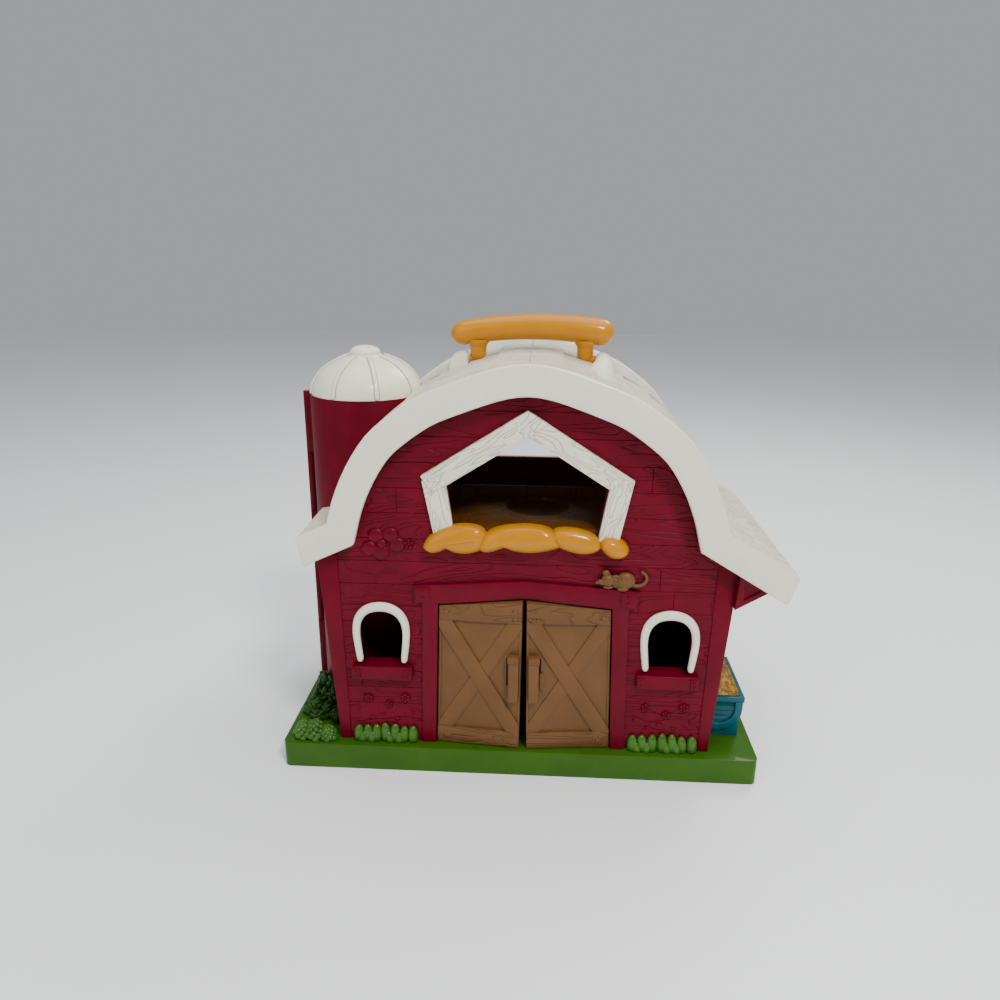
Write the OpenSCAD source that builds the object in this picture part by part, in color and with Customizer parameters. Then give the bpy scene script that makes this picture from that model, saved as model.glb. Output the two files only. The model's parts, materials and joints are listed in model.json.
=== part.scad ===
// Toy barn that opens like a case on a long hinge beside its silo.
// Millimetres, +Z up, +X to the right and +Y to the back as seen from the doors.

/* [Base] */
// Width of the green base
base_w = 330; // [324:1:336]
// Depth of the whole base, front half and rear half
base_d = 182.4; // [182:0.2:183]
// Height of the base
base_h = 18.7; // [18:0.1:19]
// How far the barn's middle stands to the right of the base's middle
barn_shift = 3.4; // [2:0.2:4]
// Thickness of the base's top and sides
base_wall = 3.2; // [2.6:0.2:3.6]

/* [Walls] */
// Width of the barn at the base
wall_w = 256.4; // [255:0.2:258]
// How far each side wall leans out for each millimetre of height
batter = 0.07; // [0.06:0.01:0.08]
// Distance of the front wall's face from the seam
wall_y = 81.7; // [81:0.1:82.5]
// Thickness of the walls
wall_t = 3; // [2.6:0.2:3.2]

/* [Roof] */
// Height of the ridge of the barge board
ridge_z = 286.6; // [286:0.2:287]
// Distance of the barge board's face from the seam
roof_y = 94; // [93:0.5:95]
// Width of the barge board, square to the roof
barge_w = 19.8; // [19:0.2:20.4]
// Thickness of the barge board from front to back
barge_t = 6; // [5:0.5:6]
// Length of the short left eave
eave_left = 23; // [20:1:24]
// Length of the long right eave
eave_right = 53.8; // [50:0.2:54]

/* [Doors] */
// Half width of the doorway at the floor
doorway_x = 60.9; // [60.6:0.1:61.4]
// Thickness of a door
door_t = 5; // [4.6:0.2:5.2]
// How far the doors stand open at rest, in degrees
ajar = 5.5; // [3:0.5:8]

/* [Silo] */
// Radius of the silo
silo_r = 40; // [39:0.5:40]
// Distance of the silo's axis to the left of the barn's middle
silo_x = 118.5; // [118:0.5:119]
// Height of the silo's rim
silo_z = 252.2; // [250:0.2:253]

/* [Handle] */
// Height of the handle's pivot
pivot_z = 278; // [277.6:0.2:278.4]
// Height of the middle of the handle's bar
bar_z = 300; // [299.4:0.2:300.6]
// Radius of the handle's bar
bar_r = 8.9; // [8.4:0.1:9.1]

/* [Hidden] */
$fn = 64;

crimson = [0.44, 0.08, 0.14];
ivory = [0.93, 0.92, 0.87];
amber = [0.85, 0.55, 0.05];
brown = [0.45, 0.31, 0.18];
green = [0.25, 0.45, 0.07];
leaf = [0.27, 0.5, 0.2];
teal = [0.06, 0.43, 0.47];

seam = 0.15;
eps = 0.01;
half_d = base_d / 2;
base_l = -base_w / 2 - barn_shift;
base_r = base_w / 2 - barn_shift;
wall_x = wall_w / 2;

// Hinge of the two halves, upright at the outer edge of the silo
hinge_x = -silo_x - silo_r - 3.6;
knuckle_r = 3;
hinge_z0 = 26;
hinge_z1 = 252.8;
knuckles = 5;
knuckle_h = (hinge_z1 - hinge_z0) / knuckles;
hinge_pin_r = 1.2;

// Slope of the roof in degrees by the distance down from the ridge
slope_at = [[0, 0], [14, 11], [30, 19], [62, 22], [78, 33], [104, 41], [118, 54], [134, 61],
            [150, 67], [176, 77]];
roof_run = 177;
roof_steps = 22;
slope_left = 25;
slope_right = 31;

// Handle
post_in = 31.5;
post_out = 43.5;
eye_r = 5.5;
pin_r = 2.5;
fit = 0.05;
boss_r = 7;
boss_y = 1;
left_pin_end = 47;

// Doors
door_axis_x = 53.5;
door_axis_y = -79.7;
door_pin_r = 1.6;
door_z0 = base_h + 0.5;
door_top_out = 124.4;
door_top_in = 130;
door_y0 = -82.2;

// Silo dome: half a ball pressed flat, with a low round knob
dome_r = 39.2;
dome_h = 27.6;
dome_wall = 2.4;

// Screw places in each half, mirrored for the rear
screw_at = [[-135, -22], [-135, -74], [0, -34], [135, -22], [135, -74]];

// Box from one corner to the other
module block(a, b) {
    translate(a)
        cube(b - a);
}

// Draws a flat shape of X and Z and gives it depth from y0 to y1
module along_y(y0, y1) {
    translate([0, y1, 0])
        rotate([90, 0, 0])
            linear_extrude(y1 - y0)
                children();
}

// Cylinder along X
module rod_x(x0, x1, y, z, r) {
    translate([x0, y, z])
        rotate([0, 90, 0])
            cylinder(h = x1 - x0, r = r);
}

// Moves the barn's own frame to the middle of the whole part's footprint
module placed() {
    translate([-2.25, 0, 0])
        children();
}

// The rear half is drawn as a mirrored front half
module rear() {
    mirror([0, 1, 0])
        children();
}

// Length and slope of each step from the ridge down, the eave last
function steps(eave, slope) =
    let (h = roof_run / roof_steps)
    concat([for (n = [0:roof_steps - 1]) [h, lookup(h * (n + 0.5), slope_at)]], [[eave, slope]]);
function run(list, n) = n == 0 ? 0 : list[n - 1][0] * cos(list[n - 1][1]) + run(list, n - 1);
function drop(list, n) = n == 0 ? 0 : list[n - 1][0] * sin(list[n - 1][1]) + drop(list, n - 1);
function roof_side(eave, slope, first) =
    let (list = steps(eave, slope))
    [for (n = [first:len(list)]) [run(list, n), ridge_z - drop(list, n)]];
function flip(points) = [for (n = [len(points) - 1:-1:0]) [-points[n][0], points[n][1]]];
function unit(v) = v / norm(v);
function down(a, b) = let (t = unit(b - a)) [t[1], -t[0]];
// Roof outline from the left eave over the ridge to the right eave
roof_line = concat(flip(roof_side(eave_left, slope_left, 0)), roof_side(eave_right, slope_right, 1));
// The outline moved in by d, with its two ends made longer by extra
function moved(d, extra) = let (p = roof_line, last = len(p) - 1) [
    for (n = [0:last])
        let (a = n == 0 ? down(p[0], p[1]) : down(p[n - 1], p[n]),
             b = n == last ? a : down(p[n], p[n + 1]),
             m = a + b,
             out = n == 0 ? unit(p[0] - p[1]) : n == last ? unit(p[last] - p[last - 1]) : [0, 0])
        p[n] + m * (2 * d / (m * m)) + out * extra
];
function reversed(points) = [for (n = [len(points) - 1:-1:0]) points[n]];

// Band between two depths under the roof outline
module roof_band(d0, d1, cut = 0) {
    polygon(concat(moved(d0, 0), reversed(moved(d1, cut))));
}

// Everything below the roof's underside
module under_roof(d) {
    polygon(concat([[-250, -10]], moved(d, 60), [[250, -10]]));
}

// Outline of the leaning walls, inset by t
module wall_outline(t) {
    intersection() {
        under_roof(5.7);
        polygon([[-wall_x + t, base_h], [wall_x - t, base_h],
                 [wall_x - t + batter * 200, base_h + 200], [-wall_x + t - batter * 200, base_h + 200]]);
        translate([-200, 0])
            square([400, 400]);
    }
    intersection() {
        under_roof(5.7);
        translate([-118, 170])
            square([236, 130]);
    }
}

function gable(side, low, foot, sill, apex) =
    [[-foot, sill], [foot, sill], [side, low], [0, apex], [-side, low]];
gable_outer = gable(67.5, 214, 59.5, 173, 257);
gable_inner = gable(51.2, 208, 46, 173, 240.6);

// Half width of the doorway and of what closes it narrows with height
function doorway_at(z) = doorway_x - (z - base_h) * 0.028;

module doorway_hole(grow) {
    polygon([[-doorway_at(base_h) - grow, base_h - 1], [doorway_at(base_h) + grow, base_h - 1],
             [doorway_at(126) + grow, 126 + grow], [0, 131.4 + grow], [-doorway_at(126) - grow, 126 + grow]]);
}

// Horseshoe arch that stands on a sill, drawn round x = 0
module arch(r, foot, top, low) {
    translate([0, top - r])
        circle(r = r);
    polygon([[-foot, low], [foot, low], [r - 0.3, top - r], [-r + 0.3, top - r]]);
}

window_x = 97;
module windows_at() {
    for (side = [-1, 1])
        translate([side * window_x, 0])
            children();
}

module base_half_outline(t) {
    r = 4.4;
    translate([base_l + t, -half_d + r])
        square([base_w - 2 * t, half_d - r - seam - t]);
    translate([base_l + r, -half_d + t])
        square([base_w - 2 * r, half_d - t - seam - t]);
    for (x = [base_l + r, base_r - r])
        translate([x, -half_d + r])
            circle(r = r - t);
}

// Slab, hollow from below, with posts for the screws
module base_half() {
    difference() {
        linear_extrude(base_h)
            base_half_outline(0);
        translate([0, 0, -1])
            linear_extrude(base_h - base_wall + 1)
                base_half_outline(base_wall);
    }
    for (at = screw_at)
        translate([at[0], at[1], 3.2])
            difference() {
                cylinder(h = base_h - base_wall - 3.2 + eps, r = 3.8);
                translate([0, 0, -1])
                    cylinder(h = 10, r = 1.4 + fit);
            }
}

module base_plate() {
    difference() {
        linear_extrude(3)
            base_half_outline(base_wall + 0.2);
        for (at = screw_at)
            translate([at[0], at[1], -1]) {
                cylinder(h = 5, r = 1.7);
                cylinder(h = 2.9, r = 3.2);
            }
    }
}

module screws() {
    for (at = screw_at)
        translate([at[0], at[1], 0])
            difference() {
                union() {
                    translate([0, 0, 0.3])
                        cylinder(h = 1.5, r = 2.9);
                    translate([0, 0, 1.7])
                        cylinder(h = 8.8, r = 1.4);
                }
                for (turn = [0, 90])
                    rotate(turn)
                        translate([-1.8, -0.4, 0])
                            cube([3.6, 0.8, 1]);
            }
}

// Corner of the rear base that makes room for the front base as the case opens
module hinge_corner() {
    block([base_l - 1, -9, -1], [hinge_x + 2.4, 1, base_h + 1]);
}

// Leaning side wall behind the front wall; side is -1 at the silo and 1 at the trough
module side_wall(side) {
    difference() {
        along_y(-wall_y + wall_t, -seam)
            difference() {
                intersection() {
                    wall_outline(0);
                    translate([side * 145, 95])
                        square([60, 200], center = true);
                }
                translate([-170, 0])
                    intersection() {
                        translate([170, 0])
                            wall_outline(wall_t);
                        square([340, 165]);
                    }
                translate([-118, 150])
                    square([236, 100]);
            }
        silo_room(silo_r + 0.05);
    }
}

module silo_room(r) {
    translate([-silo_x, 0, base_h - 1])
        cylinder(h = 300, r = r);
}

// Knuckle numbers 0, 2 and 4 belong to the front half, 1 and 3 to the rear half
module knuckle_set(first, r, grow) {
    for (n = [first:2:knuckles - 1])
        translate([hinge_x, 0, hinge_z0 + n * knuckle_h - grow + 0.2])
            cylinder(h = knuckle_h - 0.4 + 2 * grow, r = r);
}

module hinge_half(first) {
    for (n = [first:2:knuckles - 1])
        translate([0, 0, hinge_z0 + n * knuckle_h + 0.2])
            difference() {
                union() {
                    translate([hinge_x, 0, 0])
                        cylinder(h = knuckle_h - 0.4, r = knuckle_r);
                    block([hinge_x, -knuckle_r, 0], [-silo_x - silo_r + 1.5, -seam, knuckle_h - 0.4]);
                }
                translate([hinge_x, 0, -1])
                    cylinder(h = knuckle_h + 2, r = hinge_pin_r + fit);
            }
}

// Half tube of the silo, its share of the hinge and room for the other share
module silo_half(first) {
    difference() {
        union() {
            difference() {
                translate([-silo_x, 0, base_h])
                    cylinder(h = silo_z - base_h, r = silo_r);
                translate([-silo_x, 0, base_h - 1])
                    cylinder(h = silo_z, r = silo_r - 2.5);
                block([-200, -seam, 0], [0, 60, 300]);
            }
        }
        knuckle_set(1 - first, knuckle_r + 0.4, 0.3);
    }
    hinge_half(first);
}

// Board that follows the roof's edge
module barge_half() {
    along_y(-roof_y, -roof_y + barge_t)
        roof_band(0, barge_w, 5);
}

// Roof skin of one half, open where the silo stands
module roof_half() {
    difference() {
        union() {
            along_y(-roof_y + barge_t, -seam)
                roof_band(2.5, 5.5, 0);
            for (side = [-1, 1])
                rod_x(side * 37.5 - 8.5, side * 37.5 + 8.5, 0, pivot_z, eye_r + 3.5);
        }
        silo_room(silo_r + 0.2);
        block([-80, -seam, 200], [80, 30, 300]);
        for (side = [-1, 1]) {
            rod_x(side * 37.5 - 6.8, side * 37.5 + 6.8, 0, pivot_z, eye_r + 1);
            block([side * 37.5 - 6.8, -8, pivot_z - 1.6], [side * 37.5 + 6.8, 8, pivot_z + 12]);
        }
        along_y(-60, 10)
            polygon(concat([[-180, 330]], moved(2.5, 0), [[210, 330]]));
    }
}

// Boss on the roof that holds one pin of the handle, outboard of the handle's post
module boss(side) {
    x0 = side > 0 ? post_out + 1 : -58;
    x1 = side > 0 ? 58 : -post_out - 1;
    difference() {
        union() {
            rod_x(x0, x1, -boss_y, pivot_z, boss_r);
            block([x0, -boss_y - boss_r, 264.5], [x1, -seam, pivot_z]);
        }
        block([x0 - 1, -seam, 250], [x1 + 1, 20, pivot_z - 3.4]);
        along_y(-20, 20)
            under_roof(2.5);
    }
}

module window_frame(side) {
    translate([side * window_x, 0, 0])
        along_y(-wall_y - 3.6, -wall_y)
            difference() {
                arch(19.4, 17.9, 124.6, 78.2);
                arch(14.9, 13.6, 118.8, 77);
            }
}

module nail(x, z, y, r = 1.2) {
    translate([x, y, z])
        rotate([90, 0, 0])
            cylinder(h = 0.8, r = r);
}

// Five petals round a middle
module flower(r) {
    for (turn = [0:72:288])
        rotate(turn)
            translate([0, r * 0.62])
                circle(r = r * 0.36);
    circle(r = r * 0.36);
}

// Upright leaf with a round tip
module blade(x, y, h, r, lean) {
    translate([x, y, base_h])
        rotate([0, lean, 0]) {
            cylinder(h = h - r, r1 = r * 1.1, r2 = r * 0.85);
            translate([0, 0, h - r])
                sphere(r = r * 0.85);
        }
}

module grass_row(x0, x1, count) {
    step = (x1 - x0) / (count - 1);
    difference() {
        for (n = [0:count - 1])
            blade(x0 + n * step, -84.6 - 1.2 * (n % 2), 11 + 3 * ((n * 2) % 3) / 2, 3.6, 8 - 5 * (n % 4));
        block([x0 - 20, -wall_y - eps, 0], [x1 + 20, 0, 60]);
        block([x0 - 20, -110, 0], [x1 + 20, 0, base_h]);
    }
}

module base_front() {
    color(green)
        placed()
            difference() {
                union() {
                    base_half();
                    for (side = [-1, 1])
                        translate([side * door_axis_x, door_axis_y, base_h - 8])
                            cylinder(h = 8 - eps, r = 4);
                }
                for (side = [-1, 1])
                    translate([side * door_axis_x, door_axis_y, base_h - 5])
                        cylinder(h = 10, r = door_pin_r + fit);
            }
}

module base_plate_front() {
    color(green)
        placed()
            base_plate();
}

module screws_front() {
    color("silver")
        placed()
            screws();
}

module wall_front() {
    color(crimson)
        placed()
            difference() {
                union() {
                    along_y(-wall_y, -wall_y + wall_t)
                        difference() {
                            wall_outline(0);
                            doorway_hole(0);
                            polygon(gable_inner);
                            windows_at()
                                arch(14.9, 13.6, 118.8, 76.4);
                        }
                    for (side = [-1, 1])
                        block([side * door_axis_x - 5, -wall_y, 131.8], [side * door_axis_x + 5, -74, 138]);
                }
                for (side = [-1, 1])
                    translate([side * door_axis_x, door_axis_y, 120])
                        cylinder(h = 16, r = door_pin_r + fit);
            }
}

module side_left_front() {
    color(crimson)
        placed()
            side_wall(-1);
}

module side_right_front() {
    color(crimson)
        placed()
            side_wall(1);
}

module door_surround() {
    color(crimson)
        placed() {
            along_y(-wall_y - 3, -wall_y)
                difference() {
                    polygon([[-73, 126], [-74.4, 138.4], [0, 143.6], [74.4, 138.4], [73, 126]]);
                    doorway_hole(0);
                }
            for (side = [-1, 1])
                along_y(-wall_y - 2, -wall_y)
                    polygon([[side * doorway_at(base_h), base_h], [side * 70.5, base_h],
                             [side * 68.4, 126], [side * doorway_at(126), 126]]);
            for (side = [-1, 1]) {
                along_y(-wall_y - 4, -wall_y - 3)
                    polygon([[side * 63, 128], [side * 72.4, 127.2], [side * 73.4, 137.2], [side * 63, 138]]);
                nail(side * 67.8, 130, -wall_y - 4);
                nail(side * 68.2, 135, -wall_y - 4);
            }
        }
}

module window_left() {
    color(ivory)
        placed()
            window_frame(-1);
}

module window_right() {
    color(ivory)
        placed()
            window_frame(1);
}

module window_sills() {
    color(crimson)
        placed()
            windows_at() {
                along_y(-wall_y - 5, -wall_y)
                    translate([-20.8, 68.2])
                        square([41.6, 10]);
                along_y(-wall_y - eps, -wall_y + wall_t + 7)
                    translate([-13.5, 76.6])
                        square([27, 1.6]);
                for (x = [-17.6, 17.6]) {
                    along_y(-wall_y - 5.8, -wall_y - 5)
                        translate([x - 2.6, 69.2])
                            square([5.2, 8]);
                    nail(x, 71.4, -wall_y - 5.8, 0.9);
                    nail(x, 75, -wall_y - 5.8, 0.9);
                }
            }
}

module flowers() {
    color(crimson)
        placed() {
            along_y(-wall_y - 1.6, -wall_y) {
                translate([-92, 167.5])
                    flower(9.5);
                for (side = [-1, 1]) {
                    for (n = [-1:1])
                        translate([side * window_x + n * 12, 52 + 3 * abs(n)])
                            flower(5.4);
                }
            }
        }
}

module gable_frame() {
    color(ivory)
        placed() {
            along_y(-wall_y - 4.5, -wall_y)
                difference() {
                    polygon(gable_outer);
                    polygon(gable_inner);
                }
            for (side = [-1, 1])
                for (p = [[62.7, 206], [59.4, 210], [55.2, 210.4], [2.9, 245], [5.6, 249.6]])
                    nail(side * p[0], p[1], -wall_y - 4.5);
        }
}

// Plump tufts of hay from x0 to x1, each with its middle height and its radius
hay_tufts = [[-67, -47, 170.4, 7.8], [-59, -24, 171.8, 9.2], [-28, 20, 172.4, 9.6], [16, 49, 171.8, 9.2],
             [43, 66, 169.8, 7.6]];
module hay_sill() {
    color(amber)
        placed()
            along_y(-wall_y - 11, -wall_y - 4.6)
                for (tuft = hay_tufts) {
                    for (x = [tuft[0] + tuft[3], tuft[1] - tuft[3]])
                        translate([x, tuft[2]])
                            circle(r = tuft[3]);
                    translate([tuft[0] + tuft[3], tuft[2] - tuft[3]])
                        square([tuft[1] - tuft[0] - 2 * tuft[3], 2 * tuft[3]]);
                }
}

// Small animal that lies on the lintel, in three layers of relief
module mouse() {
    color(brown)
        placed() {
            along_y(-wall_y - 3.4, -wall_y)
                difference() {
                    union() {
                        for (lump = [[64.8, 146.2, 6], [58.6, 146, 4.4], [53.6, 146.6, 4.6], [49, 145.6, 2.2],
                                     [53.2, 151.2, 2.4]])
                            translate([lump[0], lump[1]])
                                circle(r = lump[2]);
                        translate([74.2, 148])
                            difference() {
                                circle(r = 5.6);
                                circle(r = 3.4);
                                translate([-10, 0])
                                    square([10, 10]);
                            }
                    }
                    polygon([[-74.5, 120], [-74.5, 138.6], [0, 143.8], [74.5, 138.6], [74.5, 120]]);
                }
            along_y(-wall_y - 5, -wall_y - 3.4)
                for (lump = [[64.8, 146.2, 4.6], [53.6, 146.6, 3.6], [58.6, 148.4, 2.9]])
                    translate([lump[0], lump[1]])
                        circle(r = lump[2]);
        }
}

module roof_front() {
    color(ivory)
        placed()
            roof_half();
}

module barge_front() {
    color(ivory)
        placed()
            barge_half();
}

module boss_right() {
    color(ivory)
        placed()
            difference() {
                boss(1);
                rod_x(30, 57, 0, pivot_z, pin_r + fit);
            }
}

module awning_bracket() {
    color(crimson)
        placed()
            difference() {
                along_y(-roof_y + barge_t + 0.3, -wall_y + 3)
                    difference() {
                        polygon([[134, 128], [157, 142], [157.6, 146], [134, 160]]);
                        under_wall_gap();
                    }
                along_y(-roof_y, -roof_y + barge_t + 1.8)
                    polygon([[141, 136], [152, 142.6], [141, 149]]);
            }
}

// Part of the front view that the wall's own edge takes
module under_wall_gap() {
    polygon([[100, base_h], [wall_x + 0.1, base_h], [wall_x + 0.1 + batter * 180, base_h + 180], [100, base_h + 180]]);
}

module loft_deck() {
    color(brown)
        placed()
            difference() {
                union() {
                    block([-66, -78.4, 172], [96, -1, 178]);
                    block([-66, -3.5, 178 - eps], [96, -1, 185]);
                    block([-66, -60, 178 - eps], [-63, -1, 186]);
                    for (x = [-60, 90])
                        block([x, -78.4, 160], [x + 4, -72, 172 + eps]);
                }
                translate([7, -28, 175])
                    cylinder(h = 10, r = 22);
                translate([-62, -78, 186])
                    rotate([0, -90, 0])
                        cylinder(h = 10, r = 26);
            }
}

module silo_front() {
    color(crimson)
        placed()
            silo_half(0);
}

// Upright section of the dome, grown by d, from one angle to another
function dome_arc(d, first, last) =
    [for (turn = [first:(last - first) / 8:last]) [(dome_r + d) * cos(turn), (dome_h + d) * sin(turn)]];

// Ribbed dome with a round knob and a half ring that drops into the front half
module silo_dome() {
    color(ivory)
        placed()
            translate([-silo_x, 0, silo_z + 0.3]) {
                difference() {
                    union() {
                        rotate_extrude()
                            polygon(concat([[0, 0]], dome_arc(0, 0, 72),
                                           [[11, 26.8], [11, 28.4], [10.2, 30], [8.4, 31.6], [5, 32.8], [0, 33.4]]));
                        for (turn = [22.5:45:337.5])
                            rotate(turn)
                                rotate([90, 0, 0])
                                    translate([0, 0, -1.1])
                                        linear_extrude(2.2)
                                            polygon(concat(dome_arc(0.8, 2, 70), reversed(dome_arc(-1, 2, 70))));
                    }
                    rotate_extrude()
                        polygon(concat([[0, -1], [dome_r - dome_wall, -1]], dome_arc(-dome_wall, 0, 80),
                                       [[0, dome_h - dome_wall - 0.4]]));
                }
                difference() {
                    translate([0, 0, -7])
                        cylinder(h = 9, r = silo_r - 2.7);
                    translate([0, 0, -8])
                        cylinder(h = 12, r = silo_r - 4.9);
                    block([-60, -0.6, -10], [60, 60, 0]);
                }
            }
}

// Leaf clumps round the silo's foot, each with its place, radius and height
ivy_clumps = [[-160.2, -13, 4.4, 12], [-157.2, -21, 5, 16], [-152, -29.4, 5.4, 20], [-145.6, -37.2, 5.6, 24],
              [-138, -43, 5.4, 23], [-134.4, -51.6, 5, 18], [-142.2, -46.6, 5.5, 18], [-150.2, -40, 5.5, 15],
              [-157.4, -31, 5.3, 12], [-161, -40.4, 4.5, 7], [-154.2, -49.2, 5.5, 10], [-145.4, -55.8, 5, 11],
              [-160.4, -52, 4.4, 6], [-137.2, -61, 4.4, 10], [-151.8, -60.4, 4.6, 7]];
module ivy() {
    color(leaf)
        placed()
            difference() {
                for (clump = ivy_clumps)
                    translate([clump[0], clump[1], base_h]) {
                        cylinder(h = clump[3] * 0.7, r = clump[2]);
                        cylinder(h = clump[3], r = clump[2] * 0.62);
                    }
                silo_room(silo_r + 0.1);
                along_y(-120, 10)
                    polygon([[0, 0], [-wall_x - 0.1, base_h], [-wall_x - 0.1 - batter * 60, base_h + 60], [0, 100]]);
            }
}

module bush() {
    color(leaf)
        placed()
            difference() {
                for (n = [0:5])
                    translate([-156 + 4.9 * n, -80.2 - 3.1 * (n % 2), base_h]) {
                        cylinder(h = 7 + 1.7 * (n % 3), r = 5.2);
                        cylinder(h = 10 + 1.7 * (n % 3), r = 3.3);
                    }
                block([-250, -150, -10], [0, 20, base_h]);
                along_y(-120, 10)
                    polygon([[0, 0], [-wall_x - 0.1, base_h], [-wall_x - 0.1 - batter * 60, base_h + 60], [0, 100]]);
            }
}

module grass_left() {
    color(leaf)
        placed()
            grass_row(-116, -76, 9);
}

module grass_right() {
    color(leaf)
        placed()
            grass_row(75, 119, 9);
}

// Section of the trough, a round belly below upright sides, inset by t
belly = [138.5, 41];
belly_r = 16.4;
module trough_section(t) {
    translate(belly)
        circle(r = belly_r - t);
    translate([belly[0] - belly_r + t, belly[1]])
        square([2 * (belly_r - t), 12]);
}

module trough() {
    color(teal)
        placed()
            difference() {
                union() {
                    along_y(-62, -3)
                        trough_section(0);
                    block([126, -62.6, 46.5], [156, -2.4, 50.4]);
                    for (y = [-61.4, -12])
                        block([134, y, base_h], [153.2, y + 7.4, 34]);
                }
                along_y(-59.6, -5.2)
                    trough_section(2.2);
                along_y(-65, -61.2)
                    intersection() {
                        trough_section(3.6);
                        translate([120, 20])
                            square([40, 26.4]);
                    }
                block([120, -70, 50.4], [160, 5, 60]);
                along_y(-80, 10)
                    under_wall_gap();
            }
}

module trough_hay() {
    color(amber)
        placed()
            difference() {
                union() {
                    along_y(-59.4, -5.4)
                        difference() {
                            trough_section(2.4);
                            translate([110, 0])
                                square([60, 36]);
                        }
                    for (n = [0:6])
                        translate([140 + 3 * (n % 2), -54 + n * 7.4, 49])
                            sphere(r = 7 + (n % 3), $fn = 24);
                }
                block([152.3, -80, 20], [170, 0, 70]);
                block([120, -80, 20], [170, -59.4, 70]);
                block([120, -5.4, 20], [170, 20, 70]);
                along_y(-80, 10)
                    under_wall_gap();
            }
}

module hinge_pin() {
    color("silver")
        placed()
            translate([hinge_x, 0, hinge_z0 + 0.2])
                cylinder(h = hinge_z1 - hinge_z0 - 0.4, r = hinge_pin_r);
}

module base_rear() {
    color(green)
        placed()
            rear()
                difference() {
                    base_half();
                    hinge_corner();
                }
}

module base_plate_rear() {
    color(green)
        placed()
            rear()
                difference() {
                    base_plate();
                    hinge_corner();
                }
}

module screws_rear() {
    color("silver")
        placed()
            rear()
                screws();
}

module wall_rear() {
    color(crimson)
        placed()
            rear()
                along_y(-wall_y, -wall_y + wall_t)
                    difference() {
                        wall_outline(0);
                        polygon(rear_inner);
                    }
}

module side_left_rear() {
    color(crimson)
        placed()
            rear()
                side_wall(-1);
}

module side_right_rear() {
    color(crimson)
        placed()
            rear()
                side_wall(1);
}

rear_inner = [[-48, 186], [48, 186], [50, 206.5], [0, 238], [-50, 206.5]];
rear_outer = [[-59, 178], [59, 178], [64, 211], [0, 252], [-64, 211]];

module rear_frame() {
    color(ivory)
        placed()
            rear()
                along_y(-wall_y - 4.5, -wall_y)
                    difference() {
                        polygon(rear_outer);
                        polygon(rear_inner);
                    }
}

module roof_rear() {
    color(ivory)
        placed()
            rear()
                roof_half();
}

module barge_rear() {
    color(ivory)
        placed()
            rear()
                barge_half();
}

// The left boss is open to the front, so the pin leaves it as the case opens
module boss_left() {
    color(ivory)
        placed()
            rear()
                difference() {
                    boss(-1);
                    rod_x(-left_pin_end - 0.8, -30, 0, pivot_z, pin_r + fit);
                    block([-left_pin_end - 0.8, 0, pivot_z - pin_r - fit], [-30, 20, pivot_z + pin_r + fit]);
                }
}

module silo_rear() {
    color(crimson)
        placed()
            rear()
                silo_half(1);
}

// Tongue inside the right wall that reaches into the front half
module catch() {
    color(crimson)
        placed()
            difference() {
                union() {
                    block([118, -6, 70], [126, 14, 84]);
                    block([118, 4, 68], [134, 14, 86]);
                }
                along_y(-20, 30)
                    polygon([[wall_x - wall_t - 0.1, base_h], [200, base_h], [200, 200],
                             [wall_x - wall_t - 0.1 + batter * 181.3, 200]]);
            }
}

// Door drawn shut, seen from the front, with its free edge near x = 0
module door_outline(inset) {
    polygon([[-doorway_at(base_h) + 0.9 + inset, door_z0 + inset], [-2.2 - inset, door_z0 + inset],
             [-0.9 - inset, door_top_in - inset], [-doorway_at(126) + 0.9 + inset, door_top_out - inset]]);
}

// Slanted board between two corners of the recessed panel
module brace(a, b, w) {
    along = unit(b - a);
    side = [-along[1], along[0]] * w / 2;
    polygon([a - side, b - side, b + side, a + side]);
}

module door() {
    difference() {
        union() {
            along_y(door_y0, door_y0 + door_t)
                door_outline(0);
            translate([-door_axis_x, door_axis_y, door_z0 - 4])
                cylinder(h = 8, r = door_pin_r);
            translate([-door_axis_x, door_axis_y, door_top_out - 4])
                cylinder(h = 135.6 - door_top_out + 4, r = door_pin_r);
            for (z = [door_z0 + 6, door_top_out - 4.6])
                along_y(door_y0 - 0.8, door_y0)
                    translate([-52.4, z])
                        square([7, 7], center = true);
        }
        along_y(door_y0 - 1, door_y0 + 1.6)
            difference() {
                polygon([[-57.6, 32], [-4.6, 32], [-3.2, 114], [-55.6, 112.4]]);
                brace([-58, 22], [-1, 124], 10.5);
                brace([-3, 26], [-57, 122], 10.5);
            }
    }
}

module door_pull() {
    along_y(door_y0 - 6, door_y0)
        difference() {
            polygon([[-10, 57], [-2.6, 57], [-2.2, 91.6], [-10, 91.6]]);
            translate([-11.2, 63])
                square([2.6, 21]);
        }
    for (z = [60, 88.6])
        nail(-6.2, z, door_y0 - 6, 1);
}

// Swings a left door's drawing to its resting angle
module left_ajar() {
    translate([-door_axis_x, door_axis_y, 0])
        rotate(-ajar)
            translate([door_axis_x, -door_axis_y, 0])
                children();
}

module door_left() {
    color(brown)
        placed()
            left_ajar()
                door();
}

module door_right() {
    color(brown)
        placed()
            mirror([1, 0, 0])
                left_ajar()
                    door();
}

module pull_left() {
    color(brown)
        placed()
            left_ajar()
                door_pull();
}

module pull_right() {
    color(brown)
        placed()
            mirror([1, 0, 0])
                left_ajar()
                    door_pull();
}

// The bar is a short piece of a wide ring with round ends
arch_r = 274;
bar_end = 48.2;
bar_drop = arch_r - sqrt(arch_r * arch_r - bar_end * bar_end);

module bar_outline(r) {
    intersection() {
        translate([0, bar_z - arch_r])
            difference() {
                circle(r = arch_r + r, $fn = 360);
                circle(r = arch_r - r, $fn = 360);
            }
        translate([-bar_end, 200])
            square([2 * bar_end, 200]);
    }
    for (side = [-1, 1])
        translate([side * bar_end, bar_z - bar_drop])
            circle(r = r);
}

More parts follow.
